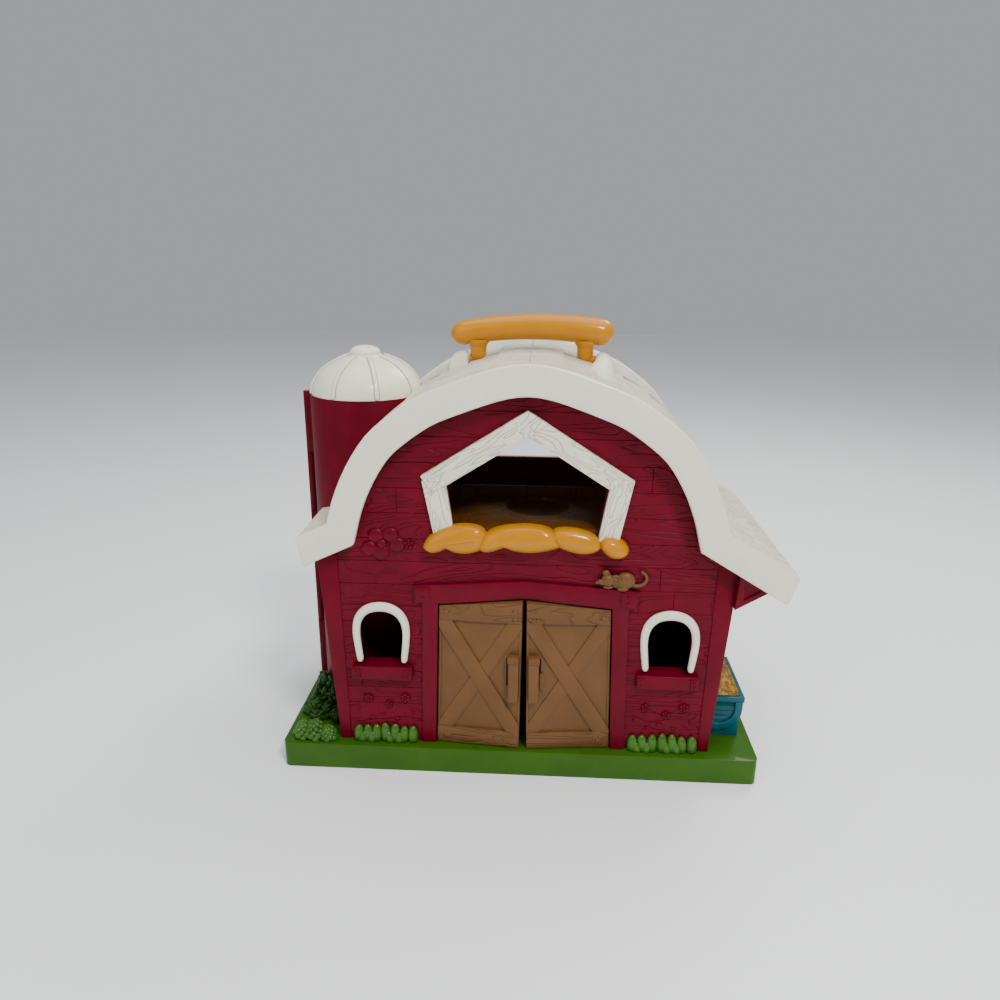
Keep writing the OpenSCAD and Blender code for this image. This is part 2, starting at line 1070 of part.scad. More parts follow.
// Arched bar on two posts, with a pin outboard of each post
module handle() {
    color(amber)
        placed() {
            for (step = [[0, 4.8], [1.1, 6.7], [3.3, 8.4]])
                along_y(-step[1], step[1])
                    bar_outline(bar_r - step[0]);
            for (side = [-1, 1]) {
                translate([side * 37.5, 0, pivot_z])
                    cylinder(h = 16, r = 6);
                rod_x(side * 37.5 - 6, side * 37.5 + 6, 0, pivot_z, eye_r);
            }
            rod_x(post_out - 1, 56.5, 0, pivot_z, pin_r);
            rod_x(-left_pin_end, -post_out + 1, 0, pivot_z, pin_r);
        }
}

base_front();
base_plate_front();
screws_front();
wall_front();
side_left_front();
side_right_front();
door_surround();
window_left();
window_right();
window_sills();
flowers();
gable_frame();
hay_sill();
mouse();
roof_front();
barge_front();
boss_right();
awning_bracket();
loft_deck();
silo_front();
silo_dome();
ivy();
bush();
grass_left();
grass_right();
trough();
trough_hay();
hinge_pin();
base_rear();
base_plate_rear();
screws_rear();
wall_rear();
side_left_rear();
side_right_rear();
rear_frame();
roof_rear();
barge_rear();
boss_left();
silo_rear();
catch();
door_left();
door_right();
pull_left();
pull_right();
handle();
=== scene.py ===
# Toy barn with opening doors: the finished look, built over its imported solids
import json
import math
import random

import bpy
from mathutils import Matrix, Vector


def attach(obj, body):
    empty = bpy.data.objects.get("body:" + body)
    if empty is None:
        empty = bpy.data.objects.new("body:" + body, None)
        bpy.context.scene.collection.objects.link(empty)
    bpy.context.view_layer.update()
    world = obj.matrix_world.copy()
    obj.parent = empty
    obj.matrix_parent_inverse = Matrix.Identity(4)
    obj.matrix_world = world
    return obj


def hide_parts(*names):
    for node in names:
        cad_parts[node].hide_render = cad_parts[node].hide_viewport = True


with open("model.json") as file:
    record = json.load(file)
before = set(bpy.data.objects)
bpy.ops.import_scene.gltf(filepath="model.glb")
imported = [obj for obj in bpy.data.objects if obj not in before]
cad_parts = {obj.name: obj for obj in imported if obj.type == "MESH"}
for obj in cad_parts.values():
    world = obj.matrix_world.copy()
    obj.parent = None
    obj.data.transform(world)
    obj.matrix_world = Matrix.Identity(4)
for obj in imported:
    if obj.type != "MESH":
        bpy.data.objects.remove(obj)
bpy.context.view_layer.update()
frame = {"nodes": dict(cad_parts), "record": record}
bpy.ops.object.select_all(action="DESELECT")
dice = random.Random(7)

# Sizes of the barn in millimetres, as its solids have them
SHIFT = -2.25
WALL_Y = 81.7
BASE_H = 18.7
RIDGE_Z = 286.6
ROOF_Y = 88.0
SKIN = 2.5
SILO = (-118.5, 0)
SILO_R = 40
SILO_Z = 252.2
DOME_R = 39.2
DOME_H = 27.6
SLOPES = [(0, 0), (14, 11), (30, 19), (62, 22), (78, 33), (104, 41), (118, 54), (134, 61), (150, 67),
          (176, 77)]
ROOF_RUN = 177
WINDOW_X = 97
ROOF_STEPS = 22
EAVES = {-1: (23, 25), 1: (53.8, 31)}
SIDES = [(-1, "left"), (1, "right")]
HALVES = [(-1, "front", "front_half"), (1, "rear", "rear_half")]
DOOR_PIVOT = (-53.5, -79.7)
DOOR_REST = 5.5
DOOR_Y = -82.2
DOOR_Z0, DOOR_Z1, DOOR_Z2 = 19.2, 124.4, 129.6
HANDLE_Z = 278
POST_X = 37.5
PIN_R = 2.5
GROOVES = [34.5, 47.7, 60.4, 73, 86, 98.4, 110, 122.4, 138, 154.5, 170.4, 188, 205, 222, 239, 256]


# Placing and shaping

def at(x, y, z):
    """A point of the barn, from millimetres round the barn's middle to metres of the frame"""
    return Vector(((x + SHIFT) / 1000, y / 1000, z / 1000))


def named(name):
    """The piece that was just made, with its name"""
    piece = bpy.context.object
    piece.name = name
    piece.data.name = name
    return piece


def pick(*pieces):
    """Makes these pieces the only ones selected, the last one active"""
    bpy.ops.object.select_all(action="DESELECT")
    for piece in pieces:
        piece.select_set(True)
    bpy.context.view_layer.objects.active = pieces[-1]


def edit(piece, *steps):
    """Runs edit-mode steps on all of a piece"""
    pick(piece)
    bpy.ops.object.mode_set(mode="EDIT")
    bpy.ops.mesh.select_all(action="SELECT")
    for step in steps:
        step()
    bpy.ops.object.mode_set(mode="OBJECT")
    return piece


def outward():
    bpy.ops.mesh.select_all(action="SELECT")
    bpy.ops.mesh.normals_make_consistent(inside=False)


def settle(piece):
    """Puts the piece's place into its mesh and its origin at the frame's origin"""
    pick(piece)
    bpy.ops.object.transform_apply(location=True, rotation=True, scale=True)
    return piece


def modify(piece, kind, **values):
    """Adds a modifier and applies it"""
    pick(piece)
    tool = piece.modifiers.new(kind.title(), kind)
    for key, value in values.items():
        setattr(tool, key, value)
    bpy.ops.object.modifier_apply(modifier=tool.name)
    return piece


def carve(cutter, *pieces, operation="DIFFERENCE", **settings):
    """Cuts a shape out of the pieces, or keeps only what lies inside it"""
    for piece in pieces:
        modify(piece, "BOOLEAN", operation=operation, object=cutter, solver="EXACT", **settings)
    bpy.data.objects.remove(cutter)


def rounded(piece, width, segments=2, angle=32):
    """Rounds the piece's sharp edges by a width in millimetres"""
    modify(piece, "BEVEL", width=width / 1000, segments=segments, limit_method="ANGLE",
           angle_limit=math.radians(angle), harden_normals=False, miter_outer="MITER_ARC")
    return smooth(piece)


def smooth(piece, angle=34):
    pick(piece)
    bpy.ops.object.shade_smooth_by_angle(angle=math.radians(angle))
    return piece


def box_outline(x0, x1, z0, z1):
    return [(x0, z0), (x1, z0), (x1, z1), (x0, z1)]


def pushed(move):
    """An edit step that extrudes what is selected, by a move in metres"""
    return lambda: bpy.ops.mesh.extrude_region_move(TRANSFORM_OT_translate={"value": move})


def welded(distance):
    """An edit step that joins points closer than a distance in metres"""
    return lambda: bpy.ops.mesh.remove_doubles(threshold=distance)


def capped(close):
    """An edit step that selects the open rims and closes them"""
    return lambda: (bpy.ops.mesh.select_all(action="DESELECT"), bpy.ops.mesh.select_mode(type="EDGE"),
                    bpy.ops.mesh.select_non_manifold(), close())


def board(name, outline, y0, y1):
    """A flat outline of X and Z, cut out with depth from y0 to y1"""
    bpy.ops.mesh.primitive_circle_add(vertices=len(outline), radius=0.05, fill_type="NGON")
    piece = named(name)
    piece.location = (0, 0, 0)
    for vertex, (x, z) in zip(piece.data.vertices, outline):
        vertex.co = at(x, y1, z)
    return edit(piece, pushed((0, (y0 - y1) / 1000, 0)), outward)


def slab(name, outline, y0, y1, width, segments=2, angle=32):
    """A board with its sharp edges rounded"""
    return rounded(board(name, outline, y0, y1), width, segments, angle)


def crossbar(name, vertices, radius, x0, x1):
    """A round bar on the handle's axis, from x0 to x1"""
    bpy.ops.mesh.primitive_cylinder_add(vertices=vertices, radius=radius / 1000, depth=abs(x1 - x0) / 1000,
                                        location=at((x0 + x1) / 2, 0, HANDLE_Z), rotation=(0, math.pi / 2, 0))
    return settle(named(name))


def turned(name, profile, centre, steps=64):
    """A profile of radius and height spun round an upright axis through centre"""
    bpy.ops.mesh.primitive_circle_add(vertices=len(profile), radius=0.05, fill_type="NOTHING")
    piece = named(name)
    for vertex, (r, z) in zip(piece.data.vertices, profile):
        vertex.co = at(centre[0] + r, centre[1], z)
    if profile[0][0] == 0 and profile[-1][0] == 0:
        edit(piece, lambda: bpy.ops.mesh.select_all(action="DESELECT"))
        for edge in piece.data.edges:
            edge.select = set(edge.vertices) == {0, len(profile) - 1}
        bpy.ops.object.mode_set(mode="EDIT")
        bpy.ops.mesh.select_mode(type="EDGE")
        bpy.ops.mesh.delete(type="EDGE")
        bpy.ops.mesh.select_mode(type="VERT")
        bpy.ops.object.mode_set(mode="OBJECT")
    spin = lambda: bpy.ops.mesh.spin(steps=steps, angle=2 * math.pi, center=at(centre[0], centre[1], 0),
                                     axis=(0, 0, 1))
    close = lambda: (bpy.ops.mesh.select_all(action="SELECT"), bpy.ops.mesh.remove_doubles(threshold=2e-6))
    return edit(piece, spin, close, outward)


def ball(name, centre, radii, turn=0, segments=24, rings=14):
    """A rounded lump with its own radii, turned in the barn's front view by degrees"""
    bpy.ops.mesh.primitive_uv_sphere_add(segments=segments, ring_count=rings, radius=1)
    piece = named(name)
    piece.data.transform(Matrix.Diagonal((*[r / 1000 for r in radii], 1)))
    piece.data.transform(Matrix.Rotation(math.radians(turn), 4, "Y"))
    piece.data.transform(Matrix.Translation(at(*centre)))
    return smooth(piece, 80)


def traced(node, name=None):
    """A clean copy of a solid's mesh, to be finished further"""
    mesh = frame["nodes"][node].data.copy()
    piece = bpy.data.objects.new(name or node + "_finish", mesh)
    bpy.context.scene.collection.objects.link(piece)
    mesh.materials.clear()
    flatten = lambda: bpy.ops.mesh.dissolve_limited(angle_limit=math.radians(0.6))
    return edit(piece, welded(1e-6), flatten)


def copied(piece, name):
    """A copy with its own mesh"""
    twin = piece.copy()
    twin.data = piece.data.copy()
    twin.name = name
    bpy.context.scene.collection.objects.link(twin)
    return twin


def joined(name, pieces):
    pick(*pieces)
    if len(pieces) > 1:
        bpy.ops.object.join()
    return named(name)


def about(move, x=0, y=0):
    """The same turn or mirror, taken about an upright line of the barn"""
    centre = Matrix.Translation(at(x, y, 0))
    return centre @ move @ centre.inverted()


def lay_grain(piece, along, across, jitter=True, spread=1.0):
    """Lays the piece's pattern in metres along the board, each board with its own stretch of it"""
    mesh = piece.data
    while mesh.uv_layers:
        mesh.uv_layers.remove(mesh.uv_layers[0])
    layer = mesh.uv_layers.new(name="grain").data
    along, across = Vector(along).normalized(), Vector(across).normalized()
    du, dv = (dice.uniform(0, 9), dice.uniform(0, 9)) if jitter else (0, 0)
    for loop in mesh.loops:
        point = mesh.vertices[loop.vertex_index].co
        layer[loop.index].uv = (point.dot(along) * spread + du, point.dot(across) * spread + dv)
    return piece


def lay_planks(piece, along, across):
    """Lays the pattern along the planks of a wall, each plank with its own stretch of it"""
    lay_grain(piece, along, across, False, 0.62)
    layer = piece.data.uv_layers.active.data
    for face in piece.data.polygons:
        plank = sum(1 for z in GROOVES if face.center.z * 1000 > z)
        for loop in face.loop_indices:
            layer[loop].uv.x += 0.37 * plank
            layer[loop].uv.y += 0.61 * plank
    return piece


def fitted(piece, material, slot, body, *nodes):
    """Gives a finished piece its material and body, and the solids that it stands for"""
    piece.data.materials.clear()
    piece.data.materials.append(material)
    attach(piece, body)
    if nodes:
        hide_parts(*nodes)
    return piece


def refined(node, material, slot, body, *rounding):
    """A solid in its own shape, with its edges rounded and its finish on"""
    fitted(rounded(traced(node), *rounding), material, slot, body, node)


def curve_of(points, count):
    """Smooth run through points, with count steps between neighbours"""
    out = []
    for n in range(len(points) - 1):
        p = [points[max(n - 1, 0)], points[n], points[n + 1], points[min(n + 2, len(points) - 1)]]
        for k in range(count):
            t = k / count
            out.append(tuple(0.5 * (2 * p[1][i] + (p[2][i] - p[0][i]) * t
                                    + (2 * p[0][i] - 5 * p[1][i] + 4 * p[2][i] - p[3][i]) * t * t
                                    + (3 * p[1][i] - p[0][i] - 3 * p[2][i] + p[3][i]) * t ** 3)
                             for i in range(len(points[0]))))
    return out + [tuple(points[-1])]


# Materials

class Wire:
    """One socket of a finish, with the arithmetic that a pattern needs"""

    def __init__(self, finish, socket):
        self.finish = finish
        self.socket = socket

    def maths(self, operation, *values):
        return self.finish.node("ShaderNodeMath", {"operation": operation}, *values)

    def __add__(self, other):
        return self.maths("ADD", self, other)

    def __sub__(self, other):
        return self.maths("SUBTRACT", self, other)

    def __rsub__(self, other):
        return self.maths("SUBTRACT", other, self)

    def __mul__(self, other):
        return self.maths("MULTIPLY", self, other)

    __radd__ = __add__


class Finish:
    """A material of the barn: one shader, and the patterns that feed it"""

    def __init__(self, name, **constants):
        self.material = bpy.data.materials.new(name)
        self.material.use_nodes = True
        self.tree = self.material.node_tree
        self.shader = self.tree.nodes["Principled BSDF"]
        for socket, value in constants.items():
            self.shader.inputs[socket.replace("_", " ")].default_value = value

    def plug(self, socket, value):
        if isinstance(value, Wire):
            self.tree.links.new(value.socket, socket)
        elif value is not None:
            socket.default_value = value

    def node(self, kind, settings, *values, out=0, **sockets):
        made = self.tree.nodes.new(kind)
        for key, value in settings.items():
            setattr(made, key, value)
        for n, value in enumerate(values):
            self.plug(made.inputs[n], value)
        for name, value in sockets.items():
            self.plug(made.inputs[name.replace("_", " ")], value)
        return Wire(self, made.outputs[out])

    def place(self, on_boards=False):
        """Object coordinates, or the run along each board"""
        if on_boards:
            return self.node("ShaderNodeUVMap", {"uv_map": "grain"})
        return self.node("ShaderNodeTexCoord", {}, out=3)

    def stretched(self, place, scale):
        return self.node("ShaderNodeMapping", {}, Vector=place, Scale=scale)

    def noise(self, place, scale, detail=2, roughness=0.5, distortion=0):
        return self.node("ShaderNodeTexNoise", {}, Vector=place, Scale=scale, Detail=detail,
                         Roughness=roughness, Distortion=distortion)

    def ease(self, value, low, high):
        return self.node("ShaderNodeMapRange", {"interpolation_type": "SMOOTHSTEP"}, value, low, high, 0, 1)

    def blend(self, factor, a, b):
        made = self.tree.nodes.new("ShaderNodeMix")
        made.data_type = "RGBA"
        self.plug(made.inputs[0], factor)
        for socket, colour in ((made.inputs[6], a), (made.inputs[7], b)):
            self.plug(socket, (*colour, 1) if isinstance(colour, tuple) else colour)
        return Wire(self, made.outputs[2])

    def shade(self, **sockets):
        for name, value in sockets.items():
            self.plug(self.shader.inputs[name.replace("_", " ")], value)

    def bump(self, height, distance, strength=1, under=None):
        return self.node("ShaderNodeBump", {}, Strength=strength, Distance=distance, Height=height,
                         Normal=under)


def tint(colour, factor):
    return tuple(min(1, c * factor) for c in colour)


def engraved(finish, place):
    """Thin lines that run like the rings of a sawn board, round a knot here and there"""
    field = finish.noise(finish.stretched(place, (19, 78, 1)), 1, 1.2, 0.4, 0.9)
    rings, width = 12, 0.12
    ring = finish.node("ShaderNodeMath", {"operation": "PINGPONG"}, field * rings, 0.5)
    return 1 - finish.ease(ring, 0, width)


def moulded(name, colour, roughness=0.36, coat=0.0, grain=0.0, wear=0.12, line=0.62, gleam=0.2):
    """Moulded plastic: faint uneven tone, fine skin texture, and board grain where it is engraved"""
    finish = Finish(name, Coat_Weight=coat, Coat_Roughness=0.1, Specular_IOR_Level=gleam)
    place = finish.place()
    cloud = finish.noise(place, 38, 3, 0.6)
    tone = finish.blend(finish.ease(cloud, 0.3, 0.7), tint(colour, 1 - wear), tint(colour, 1 + wear))
    skin = finish.noise(place, 2600, 1)
    smear = finish.noise(place, 120, 3, 0.65)
    gloss = roughness + (smear - 0.5) * 0.16
    normal = finish.bump(skin, 0.00003, 0.35)
    if grain:
        lines = engraved(finish, finish.place(True))
        tone = finish.blend(lines * 0.75, tone, tint(colour, line))
        normal = finish.bump(1 - lines, 0.0005, grain, normal)
        gloss = gloss + lines * 0.1
    finish.shade(Base_Color=tone, Roughness=gloss, Normal=normal)
    return finish.material


def straw(name, colour):
    """Amber straw: crossing stalks in relief, painted lighter on the stalks and darker between them as
    painted light and shade
    """
    finish = Finish(name, Specular_IOR_Level=0.5)
    place = finish.place()
    one = finish.node("ShaderNodeTexVoronoi", {}, Vector=finish.stretched(place, (520, 90, 260)), Scale=1.0)
    two = finish.node("ShaderNodeTexVoronoi", {}, Vector=finish.stretched(place, (110, 560, 300)), Scale=1.0)
    relief = finish.node("ShaderNodeMath", {"operation": "MINIMUM"}, one, two)
    # Lighter on the raised stalks, much darker in the hollows between them: painted light and shade
    tone = finish.blend(finish.ease(relief, 0.1, 0.6), tint(colour, 1.2), tint(colour, 0.35))
    finish.shade(Base_Color=tone, Roughness=0.4 + relief * 0.2, Normal=finish.bump(1 - relief, 0.0008, 0.8))
    return finish.material


def metal(name):
    finish = Finish(name, Metallic=1.0)
    place = finish.place()
    brushed = finish.noise(finish.stretched(place, (300, 2200, 300)), 1, 2)
    tone = finish.blend(brushed, (0.42, 0.42, 0.43), (0.62, 0.62, 0.63))
    finish.shade(Base_Color=tone, Roughness=0.28 + brushed * 0.15, Normal=finish.bump(brushed, 0.00002, 0.4))
    return finish.material


CRIMSON = (0.124, 0.001, 0.0115)
IVORY = (0.80, 0.765, 0.62)
AMBER = (0.50, 0.195, 0.0001)
BROWN = (0.140, 0.064, 0.022)
DARK_BROWN = (0.105, 0.040, 0.004)
GREEN = (0.032, 0.100, 0.004)
LEAF = (0.034, 0.115, 0.007)
# Leaf green darkened: painted shade for the ivy in the shadow at the silo's foot
LEAF_PAINTED_SHADE = (0.016, 0.058, 0.005)
TEAL = (0.002, 0.092, 0.120)

crimson = moulded("moulded_crimson", CRIMSON, 0.36, gleam=0.12)
crimson_wood = moulded("crimson_boards", CRIMSON, 0.4, grain=0.8, gleam=0.12, line=0.78)
# A darker copy of the wall crimson for the silo shells: painted shade on the silo
silo_crimson_painted_shade = moulded("silo_crimson_painted_shade", tint(CRIMSON, 0.84), 0.44, gleam=0.08)
ivory = moulded("moulded_ivory", IVORY, 0.3, coat=0.3, wear=0.025, gleam=0.3)
ivory_wood = moulded("ivory_boards", IVORY, 0.36, grain=1.0, wear=0.025, line=0.74, gleam=0.25)
# The shingles' ivory is a darker copy of the barge boards' ivory: painted shade on the roof's upward faces
shaded_shingle_ivory = moulded("ivory_shingles_painted_shade", tint(IVORY, 0.86), 0.34, grain=1.0, wear=0.05, line=0.66,
                        gleam=0.25)
# Ivory darkened to half: painted shade for the gaps under the shingles, the roof seam and the sides of the
# dome's ribs
painted_shade_ivory = moulded("ivory_painted_gap_shade", tint(IVORY, 0.5), 0.5, wear=0.05)
amber = moulded("moulded_amber", AMBER, 0.26, coat=0.45, wear=0.05, gleam=0.1)
brown = moulded("moulded_brown", BROWN, 0.38, wear=0.08)
brown_wood = moulded("brown_boards", BROWN, 0.4, grain=0.9, wear=0.08, line=0.8)
loft_wood = moulded("loft_boards", DARK_BROWN, 0.4, grain=0.8, wear=0.15, gleam=0.12)
green = moulded("moulded_green", GREEN, 0.3, coat=0.16, wear=0.08, gleam=0.1)
leaf = moulded("moulded_leaf", LEAF, 0.3, coat=0.3, wear=0.22, gleam=0.2)
painted_shade_leaf = moulded("shaded_leaf", LEAF_PAINTED_SHADE, 0.34, coat=0.1, wear=0.3, gleam=0.15)
teal = moulded("moulded_teal", TEAL, 0.32, coat=0.2, gleam=0.15)
hay = straw("amber_straw", (0.46, 0.22, 0.002))
steel = metal("zinc_steel")
COLOURS = {"crimson": crimson, "ivory": ivory, "amber": amber, "brown": brown, "base_green": green,
           "leaf_green": leaf, "teal": teal, "steel": steel}


# Camera, floor and light

def add_camera():
    """The photograph's viewpoint: a little above the ridge, looking down at the doors"""
    yaw, pitch, roll = -0.0553, 0.3035, 0.0071
    ahead = Vector((math.sin(yaw) * math.cos(pitch), math.cos(yaw) * math.cos(pitch), -math.sin(pitch)))
    flat = Vector((math.cos(yaw), -math.sin(yaw), 0))
    top = flat.cross(ahead)
    right = flat * math.cos(roll) + top * math.sin(roll)
    up = top * math.cos(roll) - flat * math.sin(roll)
    turn = Matrix((right, up, -ahead)).transposed()
    bpy.ops.object.camera_add(location=(0.0077555, -0.57011, 0.35162), rotation=turn.to_euler())
    camera = bpy.context.object
    camera.data.sensor_width = 36
    camera.data.lens = 28.884
    camera.data.clip_start = 0.01
    bpy.context.scene.camera = camera


def add_floor():
    bpy.ops.mesh.primitive_plane_add(size=6, location=(0, 0, -0.0002))
    floor = named("table")
    paint = Finish("table_paint", Roughness=0.55, Specular_IOR_Level=0.3)
    cloud = paint.noise(paint.place(), 3, 3)
    paint.shade(Base_Color=paint.blend(cloud, (0.90, 0.92, 0.93), (0.95, 0.97, 0.98)))
    floor.data.materials.append(paint.material)


def add_lamp(place, target, size, power, colour):
    turn = (Vector(target) - Vector(place)).to_track_quat("-Z", "Y").to_euler()
    bpy.ops.object.light_add(type="AREA", location=place, rotation=turn)
    lamp = bpy.context.object
    lamp.data.size = size
    lamp.data.energy = power
    lamp.data.color = colour


def add_light():
    add_lamp((0.42, -0.86, 1.16), (0, 0, 0.12), 0.26, 13.5, (1, 0.985, 0.96))
    add_lamp((-0.95, -0.85, 0.85), (0, 0, 0.12), 1.4, 6.5, (0.96, 0.98, 1))
    add_lamp((0.15, 0.05, 1.5), (0, 0, 0.1), 1.3, 14, (1, 1, 1))
    add_lamp((0.5, 0.6, 1.0), (0, 0, 0.25), 0.4, 5, (1, 1, 1))
    world = bpy.data.worlds.new("room")
    bpy.context.scene.world = world
    world.use_nodes = True
    world.node_tree.nodes["Background"].inputs[0].default_value = (0.385, 0.39, 0.40, 1)
    world.node_tree.nodes["Background"].inputs[1].default_value = 1


# Roof

def roof_steps(side):
    """Length and slope of each step of the roof from the ridge down, the eave last"""
    step = ROOF_RUN / ROOF_STEPS
    found = []
    for n in range(ROOF_STEPS):
        s = step * (n + 0.5)
        k = max(i for i in range(len(SLOPES) - 1) if SLOPES[i][0] <= s)
        (s0, a0), (s1, a1) = SLOPES[k], SLOPES[k + 1]
        found.append((step, a0 + (a1 - a0) * min(1, (s - s0) / (s1 - s0))))
    return found + [EAVES[side]]


def roof_at(side, s, d):
    """Point at length s along the roof's outline and depth d under it, and the slope there"""
    x, z, slope = 0.0, RIDGE_Z, 0.0
    left = s
    for length, slope in roof_steps(side):
        part = min(left, length)
        x += part * math.cos(math.radians(slope))
        z -= part * math.sin(math.radians(slope))
        left -= part
        if left <= 1e-9:
            break
    a = math.radians(slope)
    return side * (x - d * math.sin(a)), z - d * math.cos(a), slope


def roof_line(side, steps, depth):
    """Places along the roof's outline, at one depth under it"""
    return [roof_at(side, s, depth)[:2] for s in steps]


def shingle_course(side, s0, s1):
    """Section of one course: thin where it tucks in, thick at its lower edge"""
    back, front = 0.1, 1.6
    outer = []
    for t in (1, 0.67, 0.34, 0):
        outer.append(roof_at(side, s0 + (s1 - s0) * t, SKIN - 0.35 - (back + (front - back) * t))[:2])
    return roof_line(side, [s0 + (s1 - s0) * t for t in (0, 0.34, 0.67, 1)], SKIN - 0.1) + outer


def shingle_half(body, sign):
    """All the shingles of one half of the roof"""
    rows = []
    main = [0.4, 22, 44, 66, 88, 110, 132, 154, 175.5]
    for side in (-1, 1):
        for s0, s1 in zip(main, main[1:]):
            rows.append((side, s0, s1 + (0.8 if s1 < 175 else 0)))
        eave = EAVES[side][0]
        cuts = [177.8, 177.8 + eave - 1.2] if side < 0 else [177.8, 195.5, 213.5, 177.8 + eave - 1.2]
        for s0, s1 in zip(cuts, cuts[1:]):
            rows.append((side, s0, s1 + (0.8 if s1 < cuts[-1] else 0)))
    shingles = []
    for side, s0, s1 in rows:
        model = board("shingle", shingle_course(side, s0, s1), 0, 1000)
        slope = math.radians(roof_at(side, (s0 + s1) / 2, SKIN)[2])
        y = 0.6
        while y < ROOF_Y - 0.4:
            wide = dice.uniform(11, 19)
            y1 = y + wide
            if ROOF_Y - y1 < 9:
                y1 = ROOF_Y - 0.3
            piece = copied(model, "shingle")
            for vertex in piece.data.vertices:
                share = vertex.co.y
                vertex.co.y = sign * (y + 0.4 + (y1 - y - 0.8) * share) / 1000
            if sign < 0:
                piece.data.flip_normals()
            slip = dice.uniform(-0.25, 0.25) / 1000
            for vertex in piece.data.vertices:
                vertex.co.x += side * slip * math.cos(slope)
                vertex.co.z -= slip * math.sin(slope)
            lay_grain(piece, (side * math.cos(slope), 0, -math.sin(slope)), (0, 1, 0))
            shingles.append(piece)
            y = y1
        bpy.data.objects.remove(model)
    piece = joined("shingles_" + ("rear" if sign > 0 else "front"), shingles)
    trim_round(piece, SILO, SILO_R + 1.0)
    rounded(piece, 0.3, 1, 40)
    return fitted(piece, shaded_shingle_ivory, "ivory", body)


def trim_round(piece, centre, radius):
    """Cuts an upright round hole through the piece"""
    bpy.ops.mesh.primitive_cylinder_add(vertices=72, radius=radius / 1000, depth=0.5,
                                        location=at(centre[0], centre[1], 200))
    carve(settle(named("cutter")), piece, use_self=True)


def add_roof():
    """Shingles, the dark seam between the halves as a strip of painted shade, painted shade on the roof
    skins, and the boards at the gables
    """
    for sign, word, body in HALVES:
        shingle_half(body, sign)
    # The roof skins show in the gaps between the shingles; their darker ivory is painted shade there
    for sign, word, body in HALVES:
        frame["nodes"]["roof_" + word].data.materials[0] = painted_shade_ivory
    # A thin strip of the darkened ivory fills the seam between the halves: painted shade in the gap
    seam = []
    for side, first, last in ((-1, 0.2, 78), (1, 0.2, 43), (1, 61, 175)):
        steps = [first + (last - first) * k / 24 for k in range(25)]
        outline = roof_line(side, steps, 0.7) + roof_line(side, steps[::-1], 2.7)
        seam.append(slab("seam", outline, 0.2, 0.6, 0.08))
    fitted(joined("roof_seam_painted_shade", seam), painted_shade_ivory, "ivory", "rear_half")
    for sign, word, body in HALVES:
        refined("barge_" + word, ivory, "ivory", body, 1.3, 3, 45)


# Walls

def groove_cutter(runs):
    """Thin diamond bars that score the grooves; each run is an end, an end and the way out of the wall"""
    bars = []
    for start, end, out in runs:
        start, end, out = at(*start), at(*end), Vector(out)
        along = (end - start).normalized()
        wide = along.cross(out).normalized()
        bpy.ops.mesh.primitive_circle_add(vertices=4, radius=0.05, fill_type="NGON")
        bar = named("bar")
        corners = [out * 0.4, wide * 0.3, out * -0.4, wide * -0.3]
        for vertex, corner in zip(bar.data.vertices, corners):
            vertex.co = start + corner / 1000
        bars.append(edit(bar, pushed(end - start), outward))
    return joined("bars", bars)


def scored(piece, runs):
    """The piece with thin grooves in its face"""
    carve(groove_cutter(runs), piece)
    return piece


def half_wall(z):
    """Half the width between the side walls, which lean outward"""
    return 128.2 + 0.07 * (z - BASE_H)


def wall_runs(sign, joints):
    """Plank grooves of the front or the back wall, with staggered joints between planks"""
    y = sign * WALL_Y
    out = (0, sign, 0)
    runs = []
    for z in GROOVES:
        reach = half_wall(z) + 1
        runs.append(((-reach, y, z), (reach, y, z), out))
    for x, n in joints:
        runs.append(((x, y, GROOVES[n] + 0.5), (x, y, GROOVES[n + 1] - 0.5), out))
    return runs


# Joints between planks: the place across the wall and the plank's number, from the bottom
JOINTS = {"front": [(97.6, 7), (88, 8), (-112, 2), (-84, 11), (79, 12), (-30, 13)],
          "rear": [(20, 0), (-70, 2), (60, 4), (-92, 6), (8, 7), (70, 9), (-84, 11)]}


def corner_board(name, side, sign):
    """Flat board up the wall's edge, wider towards the top"""
    top = 160 if side > 0 else 158
    outline = [(side * 121.4, BASE_H + 0.05), (side * (half_wall(BASE_H) + 0.5), BASE_H + 0.05),
               (side * (half_wall(top) + 0.5), top), (side * 124.6, top)]
    y0, y1 = sorted((sign * (WALL_Y - 0.3), sign * (WALL_Y + 0.9)))
    piece = slab(name, outline, y0, y1, 0.45)
    lay_grain(piece, (0, 0, 1), (1, 0, 0))
    fitted(piece, crimson, "crimson", "front_half" if sign < 0 else "rear_half")


def side_runs(side, sign):
    """Plank grooves of a side wall, up to the seam or to the silo"""
    runs = []
    for z in [z for z in GROOVES if z < 150]:
        x = side * half_wall(z)
        y0 = 44 if side < 0 else 1
        runs.append(((x, sign * (WALL_Y - 6), z), (x, sign * y0, z), (side, 0, 0)))
    return runs


def add_walls():
    for sign, word, body in HALVES:
        wall = scored(traced("wall_" + word), wall_runs(sign, JOINTS[word]))
        lay_planks(wall, (1, 0, 0), (0, 0, 1))
        fitted(wall, crimson_wood, "crimson", body, "wall_" + word)
        for side, hand in SIDES:
            node = "side_%s_%s" % (hand, word)
            piece = scored(traced(node), side_runs(side, sign))
            lay_planks(piece, (0, 1, 0), (0, 0, 1))
            fitted(piece, crimson_wood, "crimson", body, node)
            corner_board("corner_%s_%s" % (hand, word), side, sign)
    refined("door_surround", crimson, "crimson", "front_half", 0.6)
    add_sills()
    for side, hand in SIDES:
        add_window(side * WINDOW_X, "window_" + hand)


